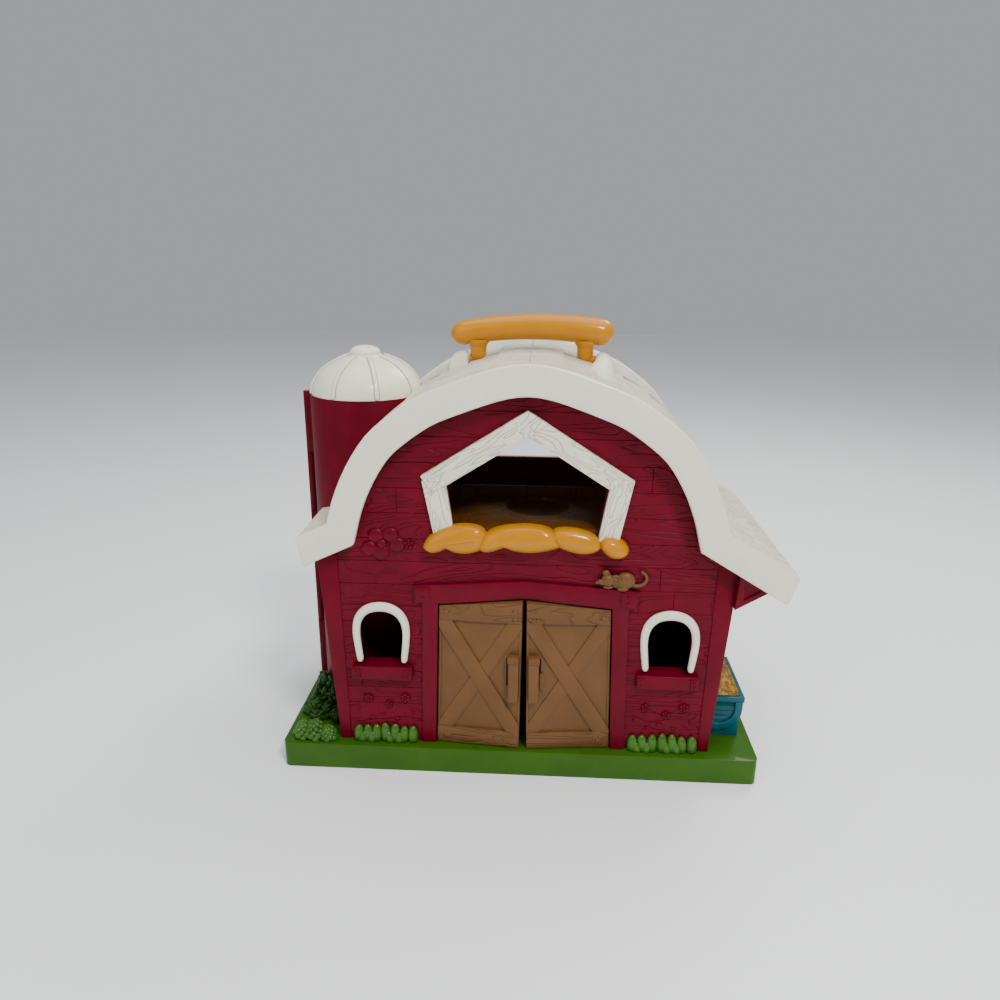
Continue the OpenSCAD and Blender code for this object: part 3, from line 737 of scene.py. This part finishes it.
def bent_tube(name, path, y, around=20):
    """A round-edged bar along a path in the front view, with its half width and half depth at each point"""
    bpy.ops.mesh.primitive_grid_add(x_subdivisions=len(path) - 1, y_subdivisions=around, size=0.1)
    piece = named(name)
    for n, vertex in enumerate(piece.data.vertices):
        k, turn = n % len(path), 2 * math.pi * (n // len(path)) / around
        x, z, wide, deep = path[k]
        before, after = path[max(k - 1, 0)], path[min(k + 1, len(path) - 1)]
        ahead = Vector((after[0] - before[0], after[1] - before[1])).normalized()
        off = wide * math.cos(turn)
        vertex.co = at(x - ahead.y * off, y + deep * math.sin(turn), z + ahead.x * off)
    return smooth(edit(piece, welded(5e-6), capped(bpy.ops.mesh.fill), outward), 75)


def add_window(x, node):
    """Horseshoe of a round bar: thick over the window, slim where its legs stand on the sill"""
    half = [(15.05, 80.3, 0.3, 0.4), (15.05, 80.6, 1.1, 1.2), (15.1, 81.3, 1.75, 1.8), (15.2, 83, 2.2, 2.2),
            (15.7, 87.5, 2.35, 2.3), (16.4, 93.5, 2.45, 2.4), (16.9, 99, 2.5, 2.4), (17, 104, 2.6, 2.4),
            (16.2, 110, 2.75, 2.4), (14, 115, 2.95, 2.4), (10.3, 118.9, 3.15, 2.4), (5.4, 121.1, 3.3, 2.4)]
    path = [(x - a, z, w, d) for a, z, w, d in half] + [(x, 121.8, 3.4, 2.4)]
    path += [(x + a, z, w, d) for a, z, w, d in reversed(half)]
    fitted(bent_tube("horseshoe", curve_of(path, 3), -WALL_Y - 1.3), ivory, "ivory", "front_half", node)


def add_sills():
    """Thick ledges under both windows, each with two nailed plates"""
    parts = []
    for x in (-WINDOW_X, WINDOW_X):
        face = -WALL_Y - 5
        outline = box_outline(x - 20.8, x + 20.8, 68.2, 78.2)
        parts.append(slab("ledge", outline, face, -WALL_Y + 0.3, 0.7, 3))
        outline = box_outline(x - 13.5, x + 13.5, 76.6, 78.15)
        parts.append(slab("seat", outline, -WALL_Y + 0.2, -71.9, 0.3))
        for dx in (-17.6, 17.6):
            plate = box_outline(x + dx - 2.6, x + dx + 2.6, 69.2, 77.2)
            parts.append(slab("plate", plate, face - 0.8, face + 0.2, 0.4))
            for z in (71.4, 75):
                parts.append(nail_head(x + dx, z, face - 0.8, 0.9))
    fitted(joined("sill_ledges", parts), crimson, "crimson", "front_half", "window_sills")


def add_gable():
    """Four grained boards, the left rafter over the right one, with nails in their laps"""
    high, low = -WALL_Y - 4.5, -WALL_Y - 3.5
    plans = [
        ("leg_left", [(-59.5, 173), (-46, 173), (-51.4, 208), (-67, 211)], low, (-0.2, 0, 1)),
        ("rafter_right", [(0, 240.8), (0, 256.8), (67.3, 213.6), (64, 203), (51.2, 208)], low,
         (1, 0, -0.64)),
        ("rafter_left", [(-67.5, 214), (0, 257), (12.6, 248.9), (0, 240.6), (-51.6, 207.8), (-61.3, 203.8)],
         high, (1, 0, 0.64)),
        ("leg_right", [(46, 173), (59.5, 173), (67.5, 214), (53.4, 215)], high, (0.2, 0, 1)),
    ]
    boards = []
    for name, outline, front, along in plans:
        piece = slab(name, outline, front, -WALL_Y + 0.4, 0.6)
        along = Vector(along)
        lay_grain(piece, along, along.cross(Vector((0, 1, 0))))
        boards.append(piece)
    nails = [(-62.2, 212.2), (-61.4, 208.2), (-58.6, 205.6), (-56.5, 211.4), (-53.6, 209.4),
             (1.9, 251.2), (3.4, 246.4), (-2.9, 243.6), (-6.0, 248.6),
             (59.4, 210.6), (62.7, 206), (55.2, 211.4), (64, 211.6)]
    for x, z in nails:
        boards.append(lay_grain(nail_head(x, z, high, 1.35), (1, 0, 0), (0, 0, 1)))
    fitted(joined("gable_boards", boards), ivory_wood, "ivory", "front_half", "gable_frame")
    fitted(lay_grain(rounded(traced("rear_frame"), 0.7), (1, 0, 0.4), (0, 0, 1)), ivory_wood, "ivory",
           "rear_half", "rear_frame")


def nail_head(x, z, y, r):
    return ball("nail", (x, y, z), (r, 0.9, r), 0, 14, 8)


# Tufts of hay on the drawing's grid: how far each stands out, its middle line and its outline
HAY_LOBES = [
    (5.0, [(70, 590), (235, 570)],
     [(22, 600), (45, 565), (90, 537), (150, 516), (212, 513), (258, 524), (286, 552), (282, 585),
      (262, 615), (222, 631), (180, 633), (148, 626), (122, 612), (90, 626), (55, 629), (30, 617)]),
    (6.2, [(310, 575), (535, 572)],
     [(262, 572), (282, 548), (322, 528), (385, 516), (460, 514), (522, 523), (560, 543), (582, 575),
      (588, 600), (552, 615), (500, 626), (445, 628), (398, 620), (362, 606), (328, 618), (288, 626),
      (256, 618), (250, 595)]),
    (5.2, [(595, 570), (705, 590)],
     [(548, 560), (560, 536), (590, 528), (632, 529), (682, 539), (722, 556), (746, 578), (752, 604),
      (736, 622), (700, 632), (655, 631), (610, 618), (570, 598)]),
    (6.0, [(788, 600), (826, 615)],
     [(748, 580), (764, 566), (792, 563), (830, 575), (858, 598), (864, 625), (846, 645), (818, 651),
      (788, 644), (762, 622), (748, 600)]),
]


def hay_point(px, py):
    """A place on the hay's drawing, in the barn's millimetres of X and Z"""
    x = -66.8 + (px - 22) * 0.1577
    return x, 183 - (py - 515) * 0.165 + 0.025 * x


def swollen(name, outline, spine, back, edge, front, rings=9):
    """A plump lump of a closed outline that swells from its edge towards a middle line"""
    count = len(outline)
    bpy.ops.mesh.primitive_grid_add(x_subdivisions=count, y_subdivisions=rings + 1, size=0.1)
    piece = named(name)
    a, b = Vector(spine[0]), Vector(spine[1])
    for n, vertex in enumerate(piece.data.vertices):
        column, ring = n % (count + 1), n // (count + 1)
        p = Vector(outline[column % count])
        share = max(0, min(1, (p - a).dot(b - a) / (b - a).length_squared))
        share = 0.5 - 0.5 * math.cos(math.pi * share)
        near = a + (b - a) * share
        t = max(0, ring - 1) / rings
        inward = 1 - math.cos(t * math.pi / 2)
        flat = p + (near - p) * inward
        depth = back if ring == 0 else edge + (front - edge) * math.sin(t * math.pi / 2)
        vertex.co = at(flat.x, depth, flat.y)
    return smooth(edit(piece, welded(2e-5), capped(bpy.ops.mesh.edge_face_add), outward), 75)


def add_hay_sill():
    """Plump tufts of hay that lap over each other under the loft window"""
    tufts = []
    for lift, spine, drawing in HAY_LOBES:
        points = [hay_point(*p) for p in drawing]
        closed = curve_of([*points, points[0]], 4)[:-1]
        tufts.append(swollen("tuft", closed, [hay_point(*p) for p in spine], -WALL_Y - 0.2, -WALL_Y - 3.2,
                             -WALL_Y - 4.4 - lift))
    fitted(joined("hay_rope", tufts), amber, "amber", "front_half", "hay_sill")


def add_flowers():
    """Raised blossoms, each a ring of petals round a button"""
    lumps = []

    def blossom(x, z, r, count):
        for k in range(count):
            a = math.radians(90 + 360 / count * k)
            place = (x + r * 0.58 * math.cos(a), -WALL_Y - 0.2, z + r * 0.58 * math.sin(a))
            lumps.append(ball("petal", place, (r * 0.42, 1.9, r * 0.36), -math.degrees(a), 16, 10))
        lumps.append(ball("button", (x, -WALL_Y - 0.4, z), (r * 0.3, 1.6, r * 0.3), 0, 14, 8))

    for x, z in ((-98.4, 172.4), (-88.8, 172.9), (-84.4, 166.2), (-95.2, 160.4), (-103, 163.2)):
        lumps.append(ball("lobe", (x, -WALL_Y + 0.1, z), (5.6, 2.4, 5.3), 0, 28, 16))
    lumps.append(ball("button", (-94.2, -WALL_Y - 0.5, 167), (3.4, 2.4, 3.3), 0, 20, 12))
    blossom(-76.6, 167, 3.8, 5)
    for side in (-1, 1):
        for dx, z, r in ((-12, 51.6, 3.6), (2, 46.8, 3.2), (14, 52.6, 3.8)):
            blossom(side * 96 + dx, z, r, 6)
        for dx, z in ((-19, 42.6), (-10, 36.4), (-2.4, 39), (8, 36), (19, 41)):
            lumps.append(ball("leaflet", (side * 96 + dx, -WALL_Y, z), (2.1, 1.4, 0.9), dx * 3, 12, 8))
    fitted(joined("blossoms", lumps), crimson, "crimson", "front_half", "flowers")


def add_mouse():
    """Small animal lying on the lintel, its tail curled up behind it"""
    y = -WALL_Y - 2.4
    torso = [ball("haunch", (65.2, y, 146.2), (6.4, 3.2, 5.8)),
             ball("chest", (59.6, y + 0.5, 144.6), (4.6, 2.4, 3.9))]
    curl = [(69.6, 143.2), (73, 142.5), (76.6, 143.6), (78.8, 146.8), (78.2, 150.2), (75.8, 152.3)]
    tail = curve_of(curl, 7)
    for n, (x, z) in enumerate(tail):
        r = 1.35 - 0.35 * n / len(tail)
        torso.append(ball("tail", (x, y + 0.6, z), (r, r, r), 0, 12, 8))
    torso = joined("torso", torso)
    modify(torso, "REMESH", mode="VOXEL", voxel_size=0.00034, use_smooth_shade=True)
    modify(torso, "SMOOTH", factor=0.5, iterations=3)
    parts = [ball("head", (53.8, y - 0.9, 146.6), (4.5, 3.2, 4.3), 0, 24, 16),
             ball("snout", (50, y - 1.4, 145.4), (3.1, 1.9, 2.1), 8),
             ball("nose", (46.9, y - 1.7, 145.1), (1.2, 1.2, 1.1)),
             ball("ear_far", (52.6, y - 0.3, 151), (2.5, 1.2, 2.4)),
             ball("eye", (51.4, y - 3.3, 147.9), (0.7, 0.6, 0.8)),
             ball("paw_front", (54, y - 0.8, 141.9), (3.4, 1.6, 1.5)),
             ball("paw_rear", (63.6, y - 0.8, 140.7), (3.8, 1.6, 1.6)),
             ball("ear_dish", (58.6, y - 1.9, 147.8), (2.6, 1.0, 2.6))]
    bpy.ops.mesh.primitive_torus_add(major_radius=0.0026, minor_radius=0.0008, major_segments=28,
                                     minor_segments=10, location=at(58.6, y - 2.7, 147.8),
                                     rotation=(math.pi / 2, 0, 0))
    parts.append(smooth(settle(named("ear_ring")), 80))
    fitted(smooth(joined("resting_mouse", [*parts, torso]), 80), brown, "brown", "front_half", "mouse")


# Doors

def swung(piece, side):
    """Swings a closed left door's piece to its resting angle, mirrored for the right door"""
    move = about(Matrix.Rotation(math.radians(-DOOR_REST), 4, "Z"), *DOOR_PIVOT)
    if side > 0:
        move = about(Matrix.Scale(-1, 4, (1, 0, 0))) @ move
    piece.data.transform(move)
    if side > 0:
        piece.data.flip_normals()
    return piece


def edge_x(z):
    """The left door's hinge edge at a height: the doorway leans inward"""
    return -(60.9 - (z - BASE_H) * 0.028) + 0.9


def free_x(z):
    """The left door's free edge at a height"""
    return -2.2 + 1.3 * (z - DOOR_Z0) / 110.8


def strip(a, b, wide):
    """Outline of a straight board between two points"""
    a, b = Vector(a), Vector(b)
    off = Vector((a.y - b.y, b.x - a.x)).normalized() * wide / 2
    return [tuple(a - off), tuple(b - off), tuple(b + off), tuple(a + off)]


def add_door(side, hand):
    """A door of boards with an X brace, and a recess behind its pull"""
    front = DOOR_Y
    outline = [(edge_x(DOOR_Z0), DOOR_Z0), (free_x(DOOR_Z0), DOOR_Z0), (free_x(DOOR_Z2), DOOR_Z2 + 0.3),
               (edge_x(DOOR_Z1), DOOR_Z1)]
    panel = slab("panel", outline, front + 1.0, front + 5, 0.4)
    lay_grain(panel, (0, 0, 1), (1, 0, 0), True, 0.12)
    boards = [panel]

    def across(z0, z1, z2, z3, gap=0.1):
        """Outline over the door's width, from its hinge edge at z0 round to the same edge at z3"""
        return [(edge_x(z0) + gap, z0), (free_x(z1) - gap, z1), (free_x(z2) - gap, z2),
                (edge_x(z3) + gap, z3)]

    def add(name, shape, lift, along, spread=0.12):
        piece = slab(name, shape, front - lift, front + 2, 0.45)
        along = Vector((along[0], 0, along[1]))
        boards.append(lay_grain(piece, along, along.cross(Vector((0, 1, 0))), True, spread))

    add("rail_low", across(19.3, 19.3, 31.6, 31.6), 0.7, (1, 0), 0.6)
    add("rail_high", across(113, 114.4, DOOR_Z2, 124.2), 0.7, (1, 0.05), 0.6)
    rim = 1.7
    add("stile_out", [(edge_x(30), 30), (edge_x(30) + rim, 30), (edge_x(114) + rim, 114), (edge_x(114), 114)],
        -0.3, (0, 1))
    add("stile_in", [(free_x(30) - rim, 30), (free_x(30), 30), (free_x(115), 115), (free_x(115) - rim, 115)],
        -0.3, (0, 1))
    # the whole board runs down to the right on both doors, the other one is cut in two by it
    left, right = edge_x(70) + 1.2, free_x(70) - 1.2
    whole = [(left + 1, 116.5), (right - 0.5, 28.5)]
    split = [(left + 1, 28.5), (right - 0.5, 116.5)]
    if side > 0:
        whole, split = split, whole
    for name, (a, b), wide, lift in (("brace_under", split, 10.4, -0.1), ("brace_over", whole, 10.8, 0.6)):
        add(name, strip(a, b, wide), lift, (b[0] - a[0], b[1] - a[1]))
    keep = across(19.3, 19.3, DOOR_Z2, 124.2)
    keep[:2] = [(x, z + 0.1) for x, z in keep[:2]]
    braces = boards[-2:]
    carve(board("trimmer", keep, front - 4, front + 6), *braces, operation="INTERSECT")
    carve(board("recess", box_outline(-11.4, -4.4, 67, 88), front - 3, front + 4.2), panel, *braces)
    for piece in (panel, *braces):
        smooth(piece)
    for z in (25.4, 119.8):
        plate = slab("plate", box_outline(-55.8, -48.9, z - 3.5, z + 3.5), front - 0.9, front, 0.4)
        ring = slab("boss", box_outline(-54.2, -50.5, z - 1.9, z + 1.9), front - 1.4, front, 0.35)
        boards += [lay_grain(plate, (1, 0, 0), (0, 0, 1)), lay_grain(ring, (1, 0, 0), (0, 0, 1))]
    for x, z in ((-7.0, 123.6), (-6.6, 117.3), (-3.3, 123.8), (-3.1, 117.7)):
        boards.append(lay_grain(nail_head(x, z, front - 0.7, 1.05), (1, 0, 0), (0, 0, 1)))
    rails = [piece for piece in boards if piece.name.startswith(("rail", "plate", "boss", "nail"))]
    panels = [piece for piece in boards if piece not in rails]
    body = hand + "_door"
    fitted(swung(joined("door_%s_panels" % hand, panels), side), brown, "brown", body, "door_" + hand)
    fitted(swung(joined("door_%s_rails" % hand, rails), side), brown_wood, "brown", body)


def add_pull(side, hand):
    """Finger pull at the door's free edge, with the latch plate on the right door"""
    front = DOOR_Y
    grip = [(-9.6, 57), (-2.6, 57), (-2.2, 91.4), (-9.6, 91.4)]
    cap = [(-10, 86.8), (-2.4, 86.8), (-2.2, 91.6), (-10, 91.6)]
    latch = [(-13.6, 66), (-12, 65), (-10.4, 66), (-10.2, 77), (-11.8, 78.4), (-13.4, 77)]
    parts = [slab("grip", grip, front - 5.2, front, 1.0, 3), slab("cap", cap, front - 6, front, 0.7)]
    for x in (-8, -4.4):
        parts.append(nail_head(x, 89.2, front - 5.9, 0.8))
    if side > 0:
        parts.append(slab("latch_plate", latch, front - 0.7, front, 0.3))
    piece = swung(joined("grip_" + hand, parts), side)
    fitted(piece, brown, "brown", hand + "_door", "pull_" + hand)


# Silo

def add_silo():
    """The two shells of the silo, and its dome with eight ribs and a stepped knob"""
    # The shells take the darker silo crimson: painted shade
    for sign, word, body in HALVES:
        refined("silo_" + word, silo_crimson_painted_shade, "crimson", body, 0.4, 2, 50)
    base = SILO_Z + 0.3

    def arc(grow, first, last, count):
        turns = [math.radians(first + (last - first) * k / count) for k in range(count + 1)]
        return [((DOME_R + grow) * math.cos(a), base + (DOME_H + grow) * math.sin(a)) for a in turns]

    knob = [(10.9, 26.9), (11, 28.2), (10.6, 29.6), (9.7, 30.8), (8.2, 31.8), (6, 32.6), (3.2, 33.2),
            (0, 33.4)]
    knob = [(r, base + z) for r, z in knob]
    shell = arc(0, 0, 72, 22)
    inside = [(0, base + DOME_H - 2.8), *reversed(arc(-2.4, 0, 78, 14))]
    parts = [smooth(turned("dome_shell", [*inside, *shell, *knob], SILO, 96), 42)]
    # Each rib sits on a wider, lower strip of the darkened ivory, which shows as painted shade lines along
    # both sides of the rib
    edges = []
    for n in range(8):
        turn = Matrix.Rotation(math.radians(22.5 + 45 * n), 4, "Z")
        move = Matrix.Translation((SILO[0] / 1000, 0, 0)) @ about(turn)
        for name, grow, half, group in (("rib", 1.15, 1.3, parts), ("edge", 0.3, 2.0, edges)):
            outline = arc(grow, 1.5, 71, 20) + list(reversed(arc(-1.4, 1.5, 70, 14)))
            rib = slab(name, outline, -half, half, 0.5 if group is parts else 0.15, 3, 50)
            rib.data.transform(move)
            group.append(rib)
    fitted(joined("dome_rib_painted_shade_lines", edges), painted_shade_ivory, "ivory", "front_half")
    bpy.ops.mesh.primitive_cylinder_add(vertices=64, radius=0.0371, depth=0.008,
                                        location=at(SILO[0], 0, base - 3))
    spigot = settle(named("spigot"))
    front = board("front", box_outline(-160, -78, base - 9, base + 0.5), -60, -0.7)
    carve(front, spigot, operation="INTERSECT")
    parts.append(smooth(spigot))
    fitted(joined("dome", parts), ivory, "ivory", "front_half", "silo_dome")


# Handle

def add_handle():
    """Round bar bent to a shallow arch, with round ends and two short posts"""
    r, reach, arch = 8.9, 48.2, 274.0
    top = 300.0
    ends = [(r * math.sin(math.radians(a)), -reach - r * math.cos(math.radians(a))) for a in range(0, 91, 10)]
    run = [(r, -reach + 2 * reach * k / 24) for k in range(1, 24)]
    others = [(p, -z) for p, z in reversed(ends)]
    bar = turned("bar", [(p, z) for p, z in ends + run + others], (0, 0), 40)
    for vertex in bar.data.vertices:
        local = vertex.co * 1000 - Vector((SHIFT, 0, 0))
        along, out = local.z, local.x
        a = along / arch
        swell = 1 + 0.06 * along / reach
        lifted = arch + out * swell + 0.7 * along / reach
        vertex.co = at(lifted * math.sin(a), local.y * swell, top - arch + lifted * math.cos(a))
    edit(bar, outward)
    parts = [smooth(bar, 60)]
    for side in (-1, 1):
        profile = [(0, 276), (2.2, 276.2), (3.9, 277.2), (5.1, 279), (5.7, 281.2), (5.7, 285), (6.2, 287),
                   (7.6, 289), (7.6, 291), (0, 291)]
        parts.append(smooth(turned("post", profile, (side * POST_X, 0), 40), 60))
        tip = 54 if side > 0 else 44
        parts.append(rounded(crossbar("pin", 40, PIN_R, side * 38, side * tip), 0.4, 3))
    fitted(joined("carry_bar", parts), amber, "amber", "carry_handle", "handle")
    for side, word, body in ((1, "right", "front_half"), (-1, "left", "rear_half")):
        add_boss(side, word, body)


# The handle's right mount from the seam forward: depth, both edges across and its rise over the roof
MOUNT = [(3.2, 48, 55, 1), (3.1, 46.6, 56.6, 4), (2.4, 45.2, 57.8, 8.6), (1, 44.6, 58.4, 11.4),
         (-2, 44.5, 58.5, 12.4), (-7, 44.4, 58.4, 12), (-13, 43.4, 58, 10.8), (-20, 41.6, 57.6, 8.8),
         (-27, 39.6, 57, 6.6), (-34, 38.2, 56.4, 4.6), (-41, 37.2, 55.4, 3), (-48, 37, 54, 1.8),
         (-54, 38, 52, 1.2)]


def roof_height(x):
    """Height of the shingles at a distance from the middle"""
    s = next(s / 4 for s in range(60, 400) if roof_at(1, s / 4, SKIN)[0] >= x)
    return roof_at(1, s, SKIN)[1]


def add_boss(side, word, body):
    """Mount of one end of the handle: a round hump at the seam that flares out along the roof"""
    stations = curve_of(MOUNT, 3)
    across = 24
    bpy.ops.mesh.primitive_grid_add(x_subdivisions=across, y_subdivisions=len(stations) - 1, size=0.1)
    hump = named("hump")
    for n, vertex in enumerate(hump.data.vertices):
        y, x0, x1, rise = stations[n // (across + 1)]
        turn = math.pi * (n % (across + 1) / across - 0.5)
        x = (x0 + x1) / 2 + (x1 - x0) / 2 * math.sin(turn)
        blunt = 0.55 if y > -10 else min(1.3, 0.55 - 0.022 * (y + 10))
        lift = (rise + 0.6) * max(0, math.cos(turn)) ** blunt
        vertex.co = at(x, y, roof_height(x) - 0.6 + lift)
    edit(hump, pushed((0, 0, -0.0016)), outward)
    if side < 0:
        hump.data.transform(about(Matrix.Rotation(math.pi, 4, "Z")))
    else:
        carve(crossbar("bore", 32, PIN_R + 0.1, 40, 54.6), hump)
    fitted(smooth(hump, 60), ivory, "ivory", body, "boss_" + word)


# Plants, trough and base

# Leaf clumps round the silo's foot: place, radius and height
IVY = [(-160.2, -13, 4.4, 12), (-157.2, -21, 5, 16), (-152, -29.4, 5.4, 20), (-145.6, -37.2, 5.6, 24),
       (-138, -43, 5.4, 23), (-134.4, -51.6, 5, 18), (-142.2, -46.6, 5.5, 18), (-150.2, -40, 5.5, 15),
       (-157.4, -31, 5.3, 12), (-161, -40.4, 4.5, 7), (-154.2, -49.2, 5.5, 10), (-145.4, -55.8, 5, 11),
       (-160.4, -52, 4.4, 6), (-137.2, -61, 4.4, 10), (-151.8, -60.4, 4.6, 7)]

GOLDEN_TURN = 2.39996


def clump(name, places):
    """Leaves of one plant, joined"""
    return joined(name, [ball("leaf", (x, y, z), radii, turn, 14, 9) for x, y, z, radii, turn in places])


def stand(piece):
    """Flattens the foot of a plant where it stands on the base"""
    for vertex in piece.data.vertices:
        vertex.co.z = max(vertex.co.z, (BASE_H - 0.3) / 1000)
    return piece


def add_grass():
    for word, x0, x1 in (("left", -115.6, -77.2), ("right", 76.2, 117.2)):
        blades = []
        for n in range(7):
            x = x0 + (x1 - x0) * n / 6
            h = (11.8, 13.8, 12.2, 13.4, 12.6)[n * 2 % 5]
            blades.append((x, -WALL_Y - 1.7, BASE_H + h * 0.34, (3.7, 3.1, h * 0.68), dice.uniform(-5, 5)))
            if n % 3 != 2 and n < 6:
                blades.append((x + 3, -WALL_Y - 3.4, BASE_H + 1.8, (2.9, 2.4, dice.uniform(5.4, 7)),
                               dice.uniform(-14, 14)))
        piece = stand(clump("grass_leaves_" + word, blades))
        for vertex in piece.data.vertices:
            vertex.co.y = min(vertex.co.y, (-WALL_Y + 0.3) / 1000)
        fitted(piece, leaf, "leaf_green", "front_half", "grass_" + word)


def add_bush():
    mounds = [(-155.5, -81, 6.6, 6.4, 10.5), (-146.5, -82, 6.6, 6.2, 12.4), (-138, -83, 5.4, 5.4, 8.8)]
    leaves = []
    for x, y, a, b, h in mounds:
        leaves.append((x, y, BASE_H, (a - 0.6, b - 0.6, h - 0.9), 0))
        for n in range(34):
            turn, rise = n * GOLDEN_TURN, 0.04 + 0.96 * ((n + 0.5) / 34)
            flat = math.sqrt(1 - rise * rise)
            r = dice.uniform(1.7, 2.5)
            leaves.append((x + a * flat * math.cos(turn) * 0.94, y + b * flat * math.sin(turn) * 0.94,
                           BASE_H + h * rise * 0.93, (r * 1.15, r, r), dice.uniform(-40, 40)))
    fitted(clump("bush_leaves", leaves), leaf, "leaf_green", "front_half", "bush")


def add_ivy():
    leaves = []
    for x, y, r, h in IVY:
        for n in range(16):
            turn, share = n * GOLDEN_TURN, (n + 0.5) / 16
            reach = r * (1 - 0.72 * share)
            px, py = x + reach * math.cos(turn), y + reach * math.sin(turn)
            long = dice.uniform(2.2, 4)
            pz = BASE_H + 1.2 + (h - 3.4) * share
            outside = math.hypot(px - SILO[0], py - SILO[1]) > SILO_R + 1.2
            if outside and px < -half_wall(pz) - 1.2:
                leaves.append((px, py, pz, (dice.uniform(1.5, 2.3), 1.6, long), dice.uniform(-60, 60)))
    # The ivy takes the darkened leaf green: painted shade
    fitted(stand(clump("ivy_leaves", leaves)), painted_shade_leaf, "leaf_green", "front_half", "ivy")


def add_trough():
    end, belly_x, belly_z = -61.2, 138.5, 41
    lines = [((124, end, z), (153, end, z), (0, -1, 0)) for z in (30.6, 34.6, 38.6, 42.6)]
    box = rounded(scored(traced("trough"), lines), 0.6, 2, 40)
    arcs = []
    for r, sweep in ((16.5, 118), (11, 136)):
        turns = [math.radians(-sweep + sweep * k / 16) for k in range(17)]
        arcs.append([(belly_x + r * math.cos(a), belly_z + r * math.sin(a)) for a in turns])
    outline = [*arcs[0], (155, 46.8), (149.5, 46.8), *reversed(arcs[1])]
    band = slab("band", outline, end - 2.3, end + 0.4, 1.1, 4, 50)
    fitted(joined("feed_box", [band, box]), teal, "teal", "front_half", "trough")
    fitted(smooth(traced("trough_hay"), 50), hay, "amber", "front_half", "trough_hay")


def add_base():
    for sign, word, body in HALVES:
        refined("base_" + word, green, "base_green", body, 1.5, 4, 40)
    deck = lay_grain(rounded(traced("loft_deck"), 0.6), (1, 0, 0), (0, 1, 0))
    fitted(deck, loft_wood, "brown", "front_half", "loft_deck")
    refined("awning_bracket", crimson, "crimson", "front_half", 0.7)
    refined("catch", crimson, "crimson", "rear_half", 0.6)


def dress_solids():
    """Solids that stay as they are get the same finishes"""
    slots = {part["node"]: part["material_slot"] for part in frame["record"]["subparts"]}
    for node, solid in frame["nodes"].items():
        solid.data.materials.clear()
        solid.data.materials.append(COLOURS[slots[node]])


add_camera()
add_floor()
add_light()
dress_solids()
add_roof()
add_walls()
add_gable()
add_hay_sill()
add_flowers()
add_mouse()
for side, hand in SIDES:
    add_door(side, hand)
    add_pull(side, hand)
add_silo()
add_handle()
add_grass()
add_bush()
add_ivy()
add_trough()
add_base()
